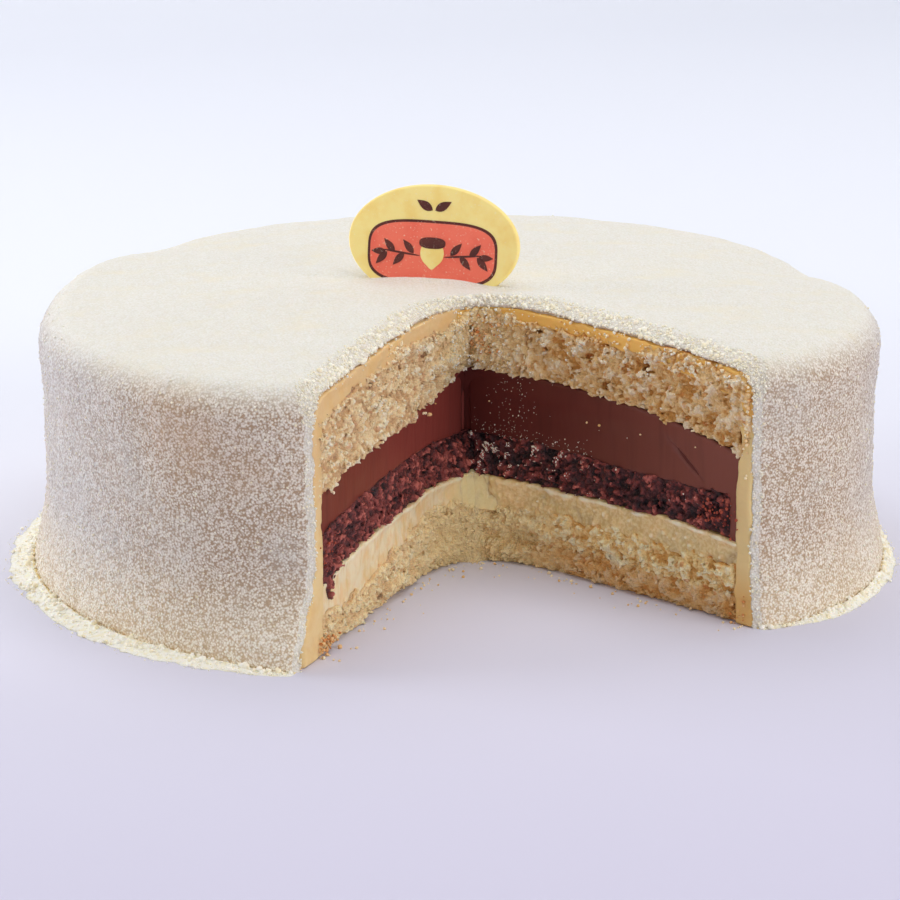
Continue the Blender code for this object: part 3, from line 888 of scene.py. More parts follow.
def lump_shape(kind):
    """Points and faces of one small lump."""
    if kind == EIGHT_FACES:
        faces = []
        for x, y, z in product((0, 1), repeat=3):
            face = (3 * x, 1 + 3 * y, 2 + 3 * z)
            faces.append(face if (x + y + z) % 2 == 0 else face[::-1])
        return np.concatenate([np.eye(3), -np.eye(3)]), np.array(faces)
    mesh = bmesh.new()
    bmesh.ops.create_icosphere(mesh, subdivisions=1, radius=1.0)
    return arrays_of(mesh)


def add_lumps(name, places, sizes, kind, look, seed):
    """Many uneven lumps in one piece, each with a random tone."""
    draw = np.random.default_rng(seed)
    shape, faces = lump_shape(kind)
    number = len(places)
    turns = draw.normal(size=(number, 4))
    w, x, y, z = (turns / np.linalg.norm(turns, axis=1)[:, None]).T
    spin = np.stack([
        1 - 2 * (y * y + z * z), 2 * (x * y - z * w), 2 * (x * z + y * w),
        2 * (x * y + z * w), 1 - 2 * (x * x + z * z), 2 * (y * z - x * w),
        2 * (x * z - y * w), 2 * (y * z + x * w), 1 - 2 * (x * x + y * y),
    ], 1).reshape(number, 3, 3)
    stretch = 1 + draw.uniform(-0.25, 0.25, (number, 1, 3))
    uneven = shape[None] * (1 + draw.uniform(-0.22, 0.22, (number, len(shape), 1))) * stretch
    placed = np.einsum("nij,nkj->nki", spin, uneven) * sizes[:, None, None] + places[:, None]
    placed[..., 2] = np.maximum(placed[..., 2], 0.0)
    all_faces = faces[None] + (np.arange(number) * len(shape))[:, None, None]
    tone = {"tone": np.repeat(draw.random(number), len(shape))}
    piece = add_mesh(name, placed.reshape(-1, 3), [all_faces.reshape(-1, 3)], look, tone)


def scatter(name, surface, weight, number, sizes, look, seed):
    """Lumps over a surface of points and triangles, thickest where the weight is greatest."""
    draw = np.random.default_rng(seed)
    number = number
    corners = surface[0][surface[1]]
    sides = corners[:, 1:] - corners[:, :1]
    across = np.cross(sides[:, 0], sides[:, 1])
    area = np.linalg.norm(across, axis=1)
    chosen = draw.choice(len(area), number, p=area * weight / (area * weight).sum())
    share = draw.random((number, 2))
    share = np.where(share.sum(1)[:, None] > 1, 1 - share, share)
    size = sizes[0] + (sizes[1] - sizes[0]) * draw.random(number) ** 2.5
    normal = across[chosen] / area[chosen, None]
    places = corners[chosen, 0] + (share[..., None] * sides[chosen]).sum(1) + normal * (0.3 * size)[:, None]
    add_lumps(name, places, size, EIGHT_FACES, look, seed)


def add_wall_grains(skin, look):
    """Coarser grains that stand out of the powder down the wall."""
    points, faces, place = skin
    where = place[faces].mean(1)
    weight = smooth(where, 1.1, 1.7) + 0.9 * smooth(where, 2.55, 2.9)
    scatter("powder_grains", (points, faces), weight, 4200, (0.00018, 0.00046), look, 33)


def add_fringe(look):
    """Grains clinging to the broken edge of the powder beside both cuts, some spilled over the icing."""
    draw = np.random.default_rng(51)
    places, sizes = [], []
    for side in (RIGHT, LEFT):
        along_top = draw.random(FRINGE_GRAINS) < FRINGE_ON_TOP
        where = np.where(along_top, draw.random(FRINGE_GRAINS), 1 + 2 * draw.random(FRINGE_GRAINS))
        line = broken_edge(where, side, 0.70 * draw.random(FRINGE_GRAINS))
        sizes.append(0.00018 + 0.00036 * draw.random(FRINGE_GRAINS) ** 2)
        spilled = (draw.random(FRINGE_GRAINS) < FRINGE_SPILLED) & (where < 1)
        line[:, 2] -= spilled * 0.0022 * draw.random(FRINGE_GRAINS)
        forward = np.where(spilled, 0.0007, 0.0002 * draw.normal(size=FRINGE_GRAINS))
        line[:, :2] -= way_of(side)[1] * forward[:, None]
        places.append(line)
    places, sizes = np.concatenate(places), np.concatenate(sizes)
    add_lumps("edge_powder", places, sizes, EIGHT_FACES, look, 52)
    places = []
    for side in (RIGHT, LEFT):
        where = draw.random(FRINGE_CLUMPS)
        places.append(broken_edge(where, side, 0.10 + 0.60 * draw.random(FRINGE_CLUMPS)))
    places = np.concatenate(places)
    sizes = 0.00040 + 0.00050 * draw.random(len(places)) ** 2
    add_lumps("edge_clumps", places, sizes, TWENTY_FACES, look, 53)


def add_cut_crumbs(name, node, look, seed, *spots):
    """Crumbs sitting on the cut faces and on the ground before them.

    Each spot has its side, its middle out and up, its spread out, up and forward, the number of
    crumbs and the radius of the largest.
    """
    draw = np.random.default_rng(seed)
    places, sizes = [], []
    for side, out, height, wide, high, ahead, number, largest in spots:
        number = number
        size = largest * (0.35 + 0.65 * draw.random(number) ** 2)
        at = np.clip(out + wide * draw.normal(size=number), 0.0, core_reach(float(side)) + 0.003)
        up = np.maximum(height + high * draw.normal(size=number), 0.6 * size)
        places.append(on_face(side, at, up, -0.4 * size - ahead * np.abs(draw.normal(size=number))))
        sizes.append(size)
    add_lumps(name, np.concatenate(places), np.concatenate(sizes), TWENTY_FACES, look, seed)


def add_loose_crumbs():
    """Crumbs on the icing and the cuts, toasted at the corner and the feet, red on the chocolate."""
    pale = loose_look("pale crumbs", (252, 236, 200), (232, 186, 122))
    toasted = loose_look("toasted crumbs", (240, 196, 140), (206, 126, 68))
    red = loose_look("red crumbs", (190, 94, 74), (112, 50, 46))
    add_cut_crumbs("pale_crumbs", "top_sponge", pale, 71,
                   (RIGHT, 0.018, 0.0755, 0.010, 0.0012, 0.0, 60, 0.0007),
                   (RIGHT, 0.050, 0.0752, 0.014, 0.0012, 0.0, 70, 0.0006),
                   (RIGHT, 0.085, 0.0735, 0.010, 0.0014, 0.0, 90, 0.0008),
                   (RIGHT, 0.108, 0.0620, 0.0012, 0.006, 0.0, 50, 0.0008),
                   (LEFT, 0.052, 0.0740, 0.003, 0.0018, 0.0, 50, 0.0006),
                   (LEFT, 0.006, 0.0755, 0.003, 0.0016, 0.0, 30, 0.0007),
                   (LEFT, 0.036, 0.0510, 0.012, 0.0008, 0.0, 5, 0.0008),
                   (RIGHT, 0.060, 0.0495, 0.024, 0.0008, 0.0, 5, 0.0007))
    add_cut_crumbs("ground_crumbs", "bottom_sponge", pale, 72,
                   (RIGHT, 0.060, 0.0, 0.040, 0.0, 0.005, 50, 0.0006),
                   (LEFT, 0.060, 0.0, 0.040, 0.0, 0.004, 50, 0.0006))
    add_cut_crumbs("toasted_crumbs", "bottom_sponge", toasted, 73,
                   (RIGHT, 0.003, 0.0700, 0.004, 0.0035, 0.0, 70, 0.0007),
                   (RIGHT, 0.1060, 0.0050, 0.0016, 0.0030, 0.0, 20, 0.0006),
                   (LEFT, 0.104, 0.0030, 0.0040, 0.0020, 0.0006, 60, 0.0007))
    add_cut_crumbs("red_crumbs", "chocolate_sponge", red, 74,
                   (RIGHT, 0.097, 0.0310, 0.0035, 0.0034, 0.0, 60, 0.0006),
                   (LEFT, 0.102, 0.0290, 0.0025, 0.0040, 0.0, 24, 0.0005))


def on_triangles(front):
    """A front's points and triangles, and how far out, on which side, how deep and how high each lies."""
    points, faces, tones = front
    means = [tones[name][faces].mean(1) for name in ("out", "side", "pit")]
    return (points, faces), *means, points[faces, 2].mean(1)


def add_powder_on_cuts(sponge, ganache, chocolate, look):
    """White powder shaken onto the cut faces, mostly near the corner and at the upper right."""
    surface, out, side, pit, height = on_triangles(sponge)
    right = side < 0.5
    near = bell(out, 0.0, 0.016) * (0.6 + 0.4 * right) + 0.5 * right * smooth(height, 0.066, 0.073)
    weight = (near + 0.03) * smooth(-pit, -0.0006, 0.0004)
    scatter("powder_on_sponge", surface, weight, 1700, (0.00016, 0.00046), look, 61)
    surface, out, side, pit, height = on_triangles(ganache)
    trail = bell(out, 0.019, 0.007) + 2.0 * bell(height, 0.040, 0.0018) * (out < 0.05)
    weight = (np.abs(pit) < 0.0008) * (side < 0.5) * (trail + 0.02)
    scatter("powder_on_ganache", surface, weight, 260, (0.00012, 0.00030), look, 62)
    surface, out, side, pit, height = on_triangles(chocolate)
    trail = bell(out, 0.012, 0.022) * smooth(height, 0.026, 0.038)
    weight = smooth(-pit, -0.0004, 0.0005) * (side < 0.5) * (trail + 0.01)
    scatter("powder_on_chocolate", surface, weight, 520, (0.00014, 0.00036), look, 64)


# Materials

# Span of the gap value over which painted shade is laid between the powder's grains
GAP_SHADE_SPAN = (0.74, 1.24)


def srgb(red, green, blue):
    """Linear colour of one written from 0 to 255 as a screen shows it."""
    values = (value / 255 for value in (red, green, blue))
    return tuple(v / 12.92 if v <= 0.04045 else ((v + 0.055) / 1.055) ** 2.4 for v in values) + (1.0,)


class Look:
    """A Principled material whose colour and bump are built from nodes in the cake's own space."""

    def __init__(self, name, roughness, bleed=0.0, bleed_scale=0.001, specular=0.3):
        self.material = bpy.data.materials.new(name)
        self.material.use_nodes = True
        self.tree = self.material.node_tree
        self.shader = self.tree.nodes["Principled BSDF"]
        self.shader.inputs["Roughness"].default_value = roughness
        self.shader.inputs["Subsurface Weight"].default_value = bleed
        self.shader.inputs["Subsurface Scale"].default_value = bleed_scale
        self.shader.inputs["Subsurface Radius"].default_value = (1.0, 0.6, 0.35)
        self.shader.inputs["Specular IOR Level"].default_value = specular
        self.place = self.node("TexCoord").outputs["Object"]

    def node(self, kind, inputs=None, **settings):
        """A new node. An input is a value, another node's output, or the name of a tone kept on the mesh."""
        node = self.tree.nodes.new("ShaderNode" + kind)
        for name, value in settings.items():
            setattr(node, name, value)
        for socket, value in (inputs or {}).items():
            if isinstance(value, str):
                value = self.node("Attribute", attribute_name=value).outputs["Fac"]
            if isinstance(value, bpy.types.NodeSocket):
                self.tree.links.new(value, node.inputs[socket])
            else:
                node.inputs[socket].default_value = value
        return node

    def along(self, axis):
        return self.node("SeparateXYZ", {"Vector": self.place}).outputs[axis]

    def noise(self, length, detail=2.0, stretch=(1.0, 1.0, 1.0)):
        """Noise from 0 to 1 that changes over this length, in metres."""
        place = self.node("Mapping", {"Vector": self.place, "Scale": stretch}).outputs["Vector"]
        return self.node("TexNoise", {"Vector": place, "Scale": 1 / length, "Detail": detail}).outputs["Fac"]

    def grains(self, length):
        """Distance from the middle of the nearest grain, 0 to about 1 in the gaps."""
        return self.node("TexVoronoi", {"Vector": self.place, "Scale": 1 / length}).outputs["Distance"]

    def tint(self, length):
        """A random value for each grain of this size."""
        colour = self.node("TexVoronoi", {"Vector": self.place, "Scale": 1 / length}).outputs["Color"]
        return self.node("SeparateColor", {"Color": colour}).outputs["Red"]

    def span(self, value, low, high):
        """0 below low, 1 above high, and a soft step between."""
        limits = {"Value": value, "From Min": low, "From Max": high}
        return self.node("MapRange", limits, interpolation_type="SMOOTHSTEP").outputs["Result"]

    def sum(self, *terms):
        """Sum of values, each with its own factor."""
        total = 0.0
        for value, factor in terms:
            inputs = {0: value, 1: factor, 2: total}
            total = self.node("Math", inputs, operation="MULTIPLY_ADD").outputs[0]
        return total

    def layered(self, colour, *layers):
        """Lay shades over a colour, each as its value runs from low to high, and up to its greatest share."""
        for shade, value, low, high, *most in layers:
            share = self.span(value, low, high)
            if most:
                share = self.sum((share, *most))
            under, over = (srgb(*paint) if isinstance(paint, tuple) else paint for paint in (colour, shade))
            colour = self.node("Mix", {0: share, 6: under, 7: over}, data_type="RGBA").outputs[2]
        return colour

    def finish(self, colour, height, distance, strength):
        """Join the colour and a bump of this height to the shader."""
        bump = self.node("Bump", {"Height": height, "Distance": distance, "Strength": strength})
        self.tree.links.new(colour, self.shader.inputs["Base Color"])
        self.tree.links.new(bump.outputs["Normal"], self.shader.inputs["Normal"])
        return self.material


def vanilla_look(name, tip, pale, pit, deep, *painted_light, low=None):
    """Open vanilla crumb, from pale tips to brown pits as painted highlight and painted shade, here and there
    toasted, with further painted light laid over it.
    """
    look = Look(name, 0.8, bleed=0.12, bleed_scale=0.0007, specular=0.2)
    tint = look.tint(0.0013)
    # Depth into the crumb sets the painted highlight on the tips and the painted shade in the pits; the left
    # face counts a little deeper, so it is painted a little darker.
    depth = look.sum(("pit", 1.2), (look.noise(0.0055), 0.0016), (look.noise(0.0016), 0.0018),
                     (tint, 0.0005), ("side", 0.0004), (1.0, -0.00275))
    colour = look.layered(
        tip,
        (pale, depth, -0.0009, 0.0001),
        (pit, depth, 0.0001, 0.0011),
        (deep, depth, 0.0011, 0.0024),
        ((212, 122, 70), tint, 0.92, 0.99, 0.5),
    )
    # Painted shade: browner low down on the right face, less of it near the corner.
    if low:
        corner, foot = look.span("out", 0.050, 0.012), look.span(look.along("Z"), 0.0105, 0.0060)
        foot = look.sum((foot, 1.0), ("side", -1.0), (corner, -0.6))
        colour = look.layered(colour, (low, foot, 0.0, 1.0, 0.5))
    bump = look.sum((look.noise(0.0006), 1.0), (look.grains(0.0008), -0.8))
    return look.finish(look.layered(colour, *painted_light), bump, 0.0008, 0.9)


def chocolate_look():
    """Dark moist crumb, red-brown where its lumps stand out as painted highlight and darker into its pits as
    painted shade, with a few redder crumbs.
    """
    look = Look("chocolate crumb", 0.5, specular=0.45)
    # Depth sets the painted highlight and shade; the left face counts less deep, so it is painted lighter.
    depth = look.sum(("pit", 1.0), (look.noise(0.0040), 0.0016), (look.tint(0.0014), 0.0010),
                     ("side", -0.0004), (1.0, -0.0012))
    right_end = look.sum((look.span("out", 0.088, 0.102), 1.0), ("side", -1.0))
    colour = look.layered(
        (196, 106, 94),
        ((226, 114, 84), right_end, 0.0, 1.0),
        ((134, 60, 55), depth, -0.0008, 0.0001),
        ((78, 33, 35), depth, 0.0001, 0.0009),
        ((30, 12, 17), depth, 0.0009, 0.0018),
    )
    return look.finish(colour, look.sum((look.noise(0.0006), 1.0), (look.grains(0.0009), -0.8)), 0.0007, 0.9)


def ganache_look():
    look = Look("ganache", 0.42, specular=0.35)
    # Painted light: the left face lighter than the right, and each face changing in brightness along its
    # length, the right one lighter away from the shaded corner.
    left = look.layered((134, 60, 53), ((122, 54, 44), "out", 0.025, 0.095))
    colour = look.layered(
        (94, 40, 35),
        ((128, 70, 58), "out", 0.030, 0.105),
        (left, "side", 0.0, 1.0),
        ((62, 28, 26), look.noise(0.0030, 2.0, (1.0, 1.0, 0.10)), 0.50, 0.80, 0.25),
        # Painted shade where the surface lies deeper than the face, as in the scratch.
        ((46, 20, 22), "pit", 0.0005, 0.0012, 0.8),
    )
    return look.finish(colour, look.noise(0.0012, 3.0, (1.0, 1.0, 0.4)), 0.0001, 0.5)


def cream_look():
    look = Look("cream", 0.45, bleed=0.35, bleed_scale=0.002, specular=0.35)
    # The left face paler than the right: partly its own smoother, paler cream, partly painted light.
    left = look.layered(
        (252, 228, 190),
        ((247, 208, 156), look.noise(0.005, 3.0), 0.40, 0.65),
        ((236, 196, 130), look.noise(0.0013, 2.0, (1, 1, 0.2)), 0.48, 0.70, 0.6),
    )
    colour = look.layered(
        (246, 216, 162),
        ((232, 196, 136), look.noise(0.0010, 3.0), 0.38, 0.62),
        (left, "side", 0.0, 1.0),
        # Painted light near the corner, painted highlight where the cream stands out, as on its lip, and
        # painted shade in its creases and hollows.
        ((255, 228, 168), "out", 0.022, 0.004, 0.8),
        ((255, 240, 208), "pit", -0.0001, -0.0007),
        ((218, 170, 104), "pit", 0.0001, 0.0013),
    )
    return look.finish(colour, look.noise(0.0011, 3.0), 0.0004, 0.8)


def icing_look():
    """Pale icing, golden under the crown on the right and browner down at the foot."""
    look = Look("icing", 0.5, bleed=0.3, bleed_scale=0.002, specular=0.3)
    height = look.along("Z")
    left = look.layered(
        (240, 208, 152),
        ((230, 194, 142), height, 0.030, 0.058),
        ((228, 184, 116), look.noise(0.006, 3.0), 0.45, 0.70, 0.5),
    )
    colour = look.layered(
        (238, 208, 148),
        ((240, 186, 98), height, 0.054, 0.064),
        ((230, 184, 112), height, 0.020, 0.006),
        (left, "side", 0.0, 1.0),
    )
    return look.finish(colour, look.noise(0.0016, 4.0, (0.6, 0.6, 1.0)), 0.0004, 0.7)


def powder_look():
    """Fine dry powder: nearly white on top, and down the wall painted warm shade between its grains, painted
    cool light on the far flanks and painted brighter light towards the foot.
    """
    look = Look("powder", 0.95, bleed=0.10, bleed_scale=0.0008, specular=0.1)
    fine, mottle, cells = look.noise(0.0006, 3.0), look.noise(0.0017), look.grains(0.0007)
    # Painted shade in the gaps between grains, slight on top and strong down the wall.
    gap_shade = look.sum((cells, 0.7), (fine, 0.8), (mottle, 0.5), ("pit", -0.06))
    patch = look.noise(0.045, 5.0)
    apart = look.node("Math", {0: look.along("X")}, operation="ABSOLUTE").outputs[0]
    # Painted light: towards the foot the wall is lighter and its gaps less shaded.
    low = look.layered((255, 248, 232), ((214, 190, 156), gap_shade, *GAP_SHADE_SPAN))
    side = look.layered(
        (238, 230, 218),
        ((178, 152, 126), gap_shade, *GAP_SHADE_SPAN),
        ((216, 180, 146), patch, 0.50, 0.74, 0.35),
        ((204, 206, 204), patch, 0.50, 0.28, 0.35),
        # Painted cool light on the far flanks, left and right.
        ((206, 216, 230), apart, 0.095, 0.130, 0.38),
        (low, look.along("Z"), 0.030, 0.002, 0.80),
    )
    colour = look.layered(
        (236, 234, 228),
        ((228, 224, 212), gap_shade, *GAP_SHADE_SPAN),
        # Painted shade: yellower where the relief dips on top.
        ((238, 229, 204), "pit", 0.1, -1.1, 0.5),
        (side, "where", 1.15, 1.9),
    )
    return look.finish(colour, look.sum((fine, 0.8), (mottle, 0.6), (cells, -0.6)), 0.0005, 0.85)


def drift_look():
    """Loose powder on the ground, pale yellow, deeper where it meets the wall."""
    look = Look("drift", 0.95, bleed=0.15, bleed_scale=0.0010, specular=0.1)
    colour = look.layered(
        (253, 250, 238),
        ((249, 242, 214), look.noise(0.0016), 0.45, 0.70),
        ((240, 208, 116), "pit", 0.1, 0.8, 0.8),
    )
    return look.finish(colour, look.sum((look.noise(0.0010), 1.0), (look.grains(0.0014), -0.5)), 0.0006, 0.8)


def loose_look(name, light, dark):
    """Loose grains, each of its own shade between two colours."""
    look = Look(name, 0.9, bleed=0.10, bleed_scale=0.0006, specular=0.15)
    colour = look.layered(light, (dark, "tone", 0.2, 1.0), (light, look.noise(0.0010), 0.45, 0.75, 0.5))
    return look.finish(colour, look.noise(0.0005), 0.0002, 0.5)


def plaque_look(name, body, spot, roughness, dusting):
    """Moulded chocolate or its print, faintly mottled, with powder caught on it."""
    look = Look(name, roughness, bleed=0.15, bleed_scale=0.0015, specular=0.35)
    colour = look.layered(
        body,
        (spot, look.noise(0.006, 4.0), 0.40, 0.75),
        ((250, 240, 214), look.noise(0.0007, 3.0), 0.60, 0.74, dusting),
    )
    return look.finish(colour, look.noise(0.0015, 3.0), 0.00012, 0.4)


# Plaque, with the heights that its print stands up

FLUSH = 0.00012
RAISED = 0.00036
PRINT_BEVEL = 0.00006
PRINT_ROOT = 0.0003
PRINT_DOWN = (0.0, -0.0030)


def extruded(outline, low, high):
    """Points and faces of a flat outline raised from low to high, with its top edge rounded.

    The faces are sorted, because they come in another order in each run.
    """
    mesh = bmesh.new()
    face = mesh.faces.new([mesh.verts.new((x, y, low)) for x, y in outline])
    pushed = bmesh.ops.extrude_face_region(mesh, geom=[face])["geom"]
    raised = [item for item in pushed if isinstance(item, bmesh.types.BMVert)]
    bmesh.ops.translate(mesh, vec=(0, 0, high - low), verts=raised)
    top = next(item for item in pushed if isinstance(item, bmesh.types.BMFace))
    bmesh.ops.bevel(mesh, geom=top.edges[:], offset=PRINT_BEVEL, segments=2, affect="EDGES", profile=0.6)
    bmesh.ops.recalc_face_normals(mesh, faces=mesh.faces[:])
    bmesh.ops.triangulate(mesh, faces=mesh.faces[:])
    points, faces = arrays_of(mesh)
    return points, faces[np.lexsort(faces.T)]


def oval(width, height, count=40, square=2.0):
    """Outline of an oval; above 2, square makes it squarer."""
    angles = np.arange(count) / count * math.tau
    across, up = np.cos(angles), np.sin(angles)
    x = np.sign(across) * np.abs(across) ** (2 / square) * width / 2
    y = np.sign(up) * np.abs(up) ** (2 / square) * height / 2
    return np.stack([x, y], 1)


def leaf(length, width):
    """Outline of a pointed leaf that grows from the origin along X."""
    along = np.linspace(0, 1, 12)
    half = width / 2 * np.sin(math.pi * along**0.8)
    lower = np.stack([along * length, -half], 1)
    upper = np.stack([along[::-1] * length, half[::-1]], 1)[1:-1]
    return np.concatenate([lower, upper])


def turned(outline, angle, x, y):
    cos, sin = math.cos(angle), math.sin(angle)
    return outline @ np.array(((cos, sin), (-sin, cos))) + (x, y)


def oval_disc(width, height, thickness, rounding):
    """Points and faces of an oval disc with a rounded rim."""
    count = 144
    outline = oval(2.0, 2.0, count)
    bends = np.linspace(0, math.pi, 9)
    rings = [(0.45, -rounding, -1.0)]
    rings += [(1.0, rounding * (math.sin(bend) - 1), -math.cos(bend)) for bend in bends]
    rings += [(0.45, -rounding, 1.0)]
    points = [np.array([(0.0, 0.0, -thickness / 2), (0.0, 0.0, thickness / 2)])]
    for share, inset, up in rings:
        flat = outline * ((width / 2 + inset) * share, (height / 2 + inset) * share)
        points.append(np.column_stack([flat, np.full(count, up * thickness / 2)]))
    index = 2 + np.arange(len(rings) * count).reshape(len(rings), count)
    ahead = np.roll(index, -1, axis=1)
    quads = np.stack([index[:-1], ahead[:-1], ahead[1:], index[1:]], -1).reshape(-1, 4)
    back = np.stack([np.zeros(count, int), ahead[0], index[0]], 1)
    front = np.stack([np.ones(count, int), index[-1], ahead[-1]], 1)
    return np.concatenate(points), [quads, back, front]


def on_plaque(points):
    """World points of those given in the plaque's own frame."""
    place = np.array(plaque_frame())
    return points @ place[:3, :3].T + place[:3, 3]


def add_on_plaque(name, look, *outlines):
    """Flat outlines raised on the front of the plaque, each with its own height, as one piece."""
    front = PLAQUE_THICKNESS / 2
    parts, faces = [], []
    for outline, height in outlines:
        points, triangles = extruded(outline + PRINT_DOWN, front - PRINT_ROOT, front + height)
        faces.append(triangles + sum(map(len, parts)))
        parts.append(points)
    add_mesh(name, on_plaque(np.concatenate(parts)), faces, look)


def plaque_marks():
    """Outlines and heights of the print: the nut's cap, two sprigs, a pair of leaves and a row of dots."""
    marks = [(oval(0.0082, 0.0034, 40, 2.6) + (0.0, 0.0030), 0.00044)]
    for side in (-1, 1):
        towards = 0.0 if side > 0 else math.pi
        marks.append((turned(oval(0.0120, 0.0006, 30), 0.10 * side, 0.0098 * side, -0.0004), 0.00032))
        marks.append((turned(leaf(0.0046, 0.0020), towards, 0.0146 * side, -0.0004), RAISED))
        for step, lift in ((0.0058, 1), (0.0088, -1), (0.0118, 1), (0.0142, -1)):
            sprout = turned(leaf(0.0052, 0.0021), towards + 0.85 * lift * side, step * side, -0.0004)
            marks.append((sprout, RAISED))
        top_leaf = turned(leaf(0.0058, 0.0026), math.pi / 2 - 1.05 * side, 0.0004 * side, 0.0128)
        marks.append((top_leaf, FLUSH))
    for dot in range(-2, 3):
        marks.append((oval(0.0010, 0.0010, 16) + (0.0026 * dot, 0.0002 * dot**2 - 0.0116), FLUSH))
    return marks


def add_plaque():
    """Oval chocolate plaque with a plain panel and a hazel sprig."""
    body = plaque_look("plaque chocolate", (254, 232, 150), (250, 218, 128), 0.42, 0.25)
    coral = plaque_look("plaque panel", (250, 120, 96), (242, 106, 84), 0.55, 0.45)
    brown = plaque_look("plaque print", (96, 42, 34), (78, 32, 28), 0.5, 0.25)
    points, face_sets = oval_disc(PLAQUE_WIDTH, PLAQUE_HEIGHT, PLAQUE_THICKNESS, 0.0008)
    disc = add_mesh("plaque_disc", on_plaque(points), face_sets, body)
    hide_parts("plaque")
    add_on_plaque("plaque_border", brown, (oval(0.0408, 0.0196, 120, 3.4), FLUSH))
    add_on_plaque("plaque_panel", coral, (oval(0.0392, 0.0180, 120, 3.4), 0.00020))
    nut = oval(0.0074, 0.0080)
    nut[:, 1] -= 0.0010 * bell(nut[:, 0], 0.0, 0.0012) * (nut[:, 1] < 0)
    add_on_plaque("plaque_print", brown, *plaque_marks())
    add_on_plaque("plaque_nut", body, (nut, RAISED))


# Stage, light and camera

STAGE_FRONT = -3.0
STAGE_HALF_WIDTH = 3.5
BEND_STARTS = 0.9
BEND_RADIUS = 0.6
BACKDROP_TOP = 2.6
SKY_COLOUR = (0.93, 0.94, 1.0, 1.0)
SKY_STRENGTH = 0.27
CAMERA_TURN = math.radians(-12.75)
CAMERA_PLACE = Vector((-0.00124, -1.0618, 0.3363))
CAMERA_AIM = Vector((-0.00124, 0.0, 0.03097))
CAMERA_LENS = 145.7


def add_stage():
    """Pale floor that curves up into the backdrop."""
    bends = np.linspace(0, math.pi / 2, 13)
    back, up = BEND_RADIUS * np.sin(bends), BEND_RADIUS - BEND_RADIUS * np.cos(bends)
    bend = np.column_stack([BEND_STARTS + back, up])
    top = (BEND_STARTS + BEND_RADIUS, BACKDROP_TOP)
    profile = np.concatenate([[(STAGE_FRONT, 0.0)], bend, [top]])
    points = [(x, y, z) for y, z in profile for x in (-STAGE_HALF_WIDTH, STAGE_HALF_WIDTH)]
    faces = [(a, a + 1, a + 3, a + 2) for a in range(0, len(points) - 2, 2)]
    data = bpy.data.meshes.new("backdrop")
    data.from_pydata(points, [], faces)
    data.polygons.foreach_set("use_smooth", [True] * len(faces))
    look = Look("pale backdrop", 0.9, specular=0.1)
    colour = look.layered((210, 207, 227), ((236, 239, 248), look.along("Y"), -0.35, 0.35))
    data.materials.append(look.finish(colour, look.noise(0.01), 0.0001, 0.1))
    thing = show("backdrop", data)


def aim_at(thing, place, aim):
    thing.location = place
    thing.rotation_euler = (Vector(aim) - Vector(place)).to_track_quat("-Z", "Y").to_euler()


def add_area_light(name, place, size, power, colour, aim=(0.0, 0.0, 0.04)):
    data = bpy.data.lights.new(name, "AREA")
    data.shape = "RECTANGLE"
    data.size, data.size_y = size
    data.energy = power
    data.color = colour
    aim_at(show(name, data), place, aim)


def add_lights():
    """Soft light from above, weaker ones from the front, cool ones behind, and one on the backdrop."""
    add_area_light("overhead", (0.05, 0.02, 1.30), (1.5, 1.0), 10.2, (1.0, 0.985, 0.955))
    add_area_light("front right", (1.02, -1.10, 0.44), (1.1, 0.7), 9.4, (1.0, 0.96, 0.92))
    add_area_light("front left", (-1.00, -1.15, 0.50), (0.9, 0.7), 2.8, (1.0, 0.96, 0.91))
    add_area_light("behind left", (-1.20, 0.50, 0.35), (0.7, 0.6), 8.6, (0.97, 0.98, 1.0))
    add_area_light("behind right", (1.20, 0.45, 0.40), (0.7, 0.7), 2.5, (0.98, 0.98, 1.0))
    add_area_light("backdrop light", (0.0, 1.10, 1.30), (2.2, 0.6), 3.5, (1.0, 1.0, 1.0), (0.0, 0.95, 0.0))
    world = bpy.data.worlds.new("soft sky")
    world.use_nodes = True
    sky = world.node_tree.nodes["Background"].inputs
    sky["Color"].default_value = SKY_COLOUR
    sky["Strength"].default_value = SKY_STRENGTH
    bpy.context.scene.world = world


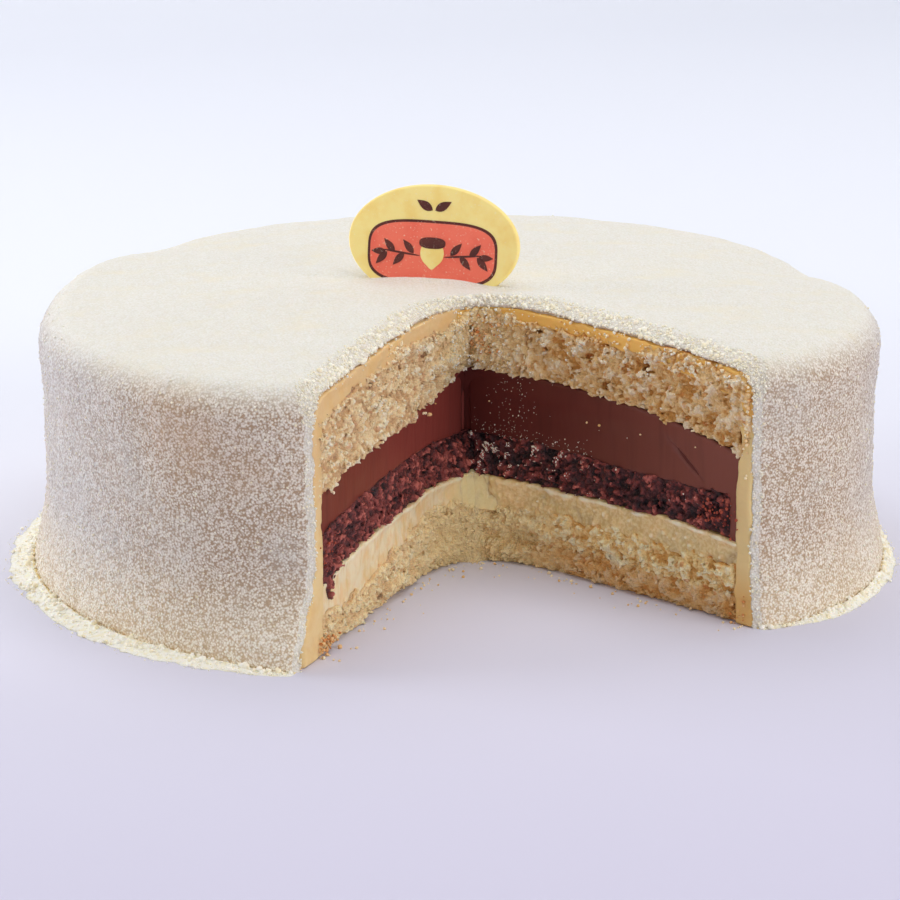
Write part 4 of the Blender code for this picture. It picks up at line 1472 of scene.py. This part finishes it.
def add_camera():
    data = bpy.data.cameras.new("camera")
    data.lens = CAMERA_LENS
    data.sensor_width = 36.0
    thing = show("camera", data)
    turn = Matrix.Rotation(CAMERA_TURN, 4, "Z")
    aim_at(thing, AXIS + turn @ CAMERA_PLACE, AXIS + turn @ CAMERA_AIM)
    bpy.context.scene.camera = thing


def main():
    add_camera()
    add_lights()
    add_stage()
    bpy.context.scene.view_settings.view_transform = "Standard"
    vanilla = vanilla_look(
        "vanilla crumb", (254, 240, 208), (245, 212, 154), (208, 152, 84), (142, 76, 32),
        # Painted light: the right face golden and darker, the left face paler, and both lighter near the
        # corner.
        ((214, 146, 64), "side", 1.0, 0.0, 0.20),
        ((255, 242, 214), "side", 0.0, 1.0, 0.26),
        ((255, 228, 172), "out", 0.034, 0.006, 0.70),
    )
    golden = vanilla_look(
        "golden crumb", (253, 239, 198), (250, 219, 156), (222, 168, 94), (158, 96, 42),
        # Painted light: the left face paler, and both faces lighter near the corner.
        ((255, 234, 192), "side", 0.0, 1.0, 0.50),
        ((255, 228, 170), "out", 0.050, 0.012, 0.75),
        # Painted shade low on the right face.
        low=(218, 152, 84),
    )
    sponge = dress_layer("top_sponge", vanilla, (0.044, 0.0800), top_sponge_field, crumb=True)
    chocolate = dress_layer("chocolate_sponge", chocolate_look(), (0.014, 0.041), chocolate_field, crumb=True)
    dress_layer("bottom_sponge", golden, (0.0025, 0.0210), bottom_sponge_field, crumb=True)
    dress_layer("cream", cream_look(), (0.0105, 0.028), cream_field)
    ganache = dress_layer("ganache", ganache_look(), (0.020, 0.060), ganache_field)
    dress_layer("icing", icing_look(), (0.0025, 0.079), icing_field)
    skin = add_powder_coat(powder_look())
    white = loose_look("loose powder", (252, 248, 234), (240, 229, 200))
    creamy = loose_look("ground powder", (254, 251, 240), (250, 238, 204))
    add_wall_grains(skin, white)
    add_drift(drift_look())
    add_drift_clumps(creamy)
    add_fringe(white)
    add_powder_on_cuts(sponge, ganache, chocolate, white)
    add_loose_crumbs()
    add_plaque()


main()
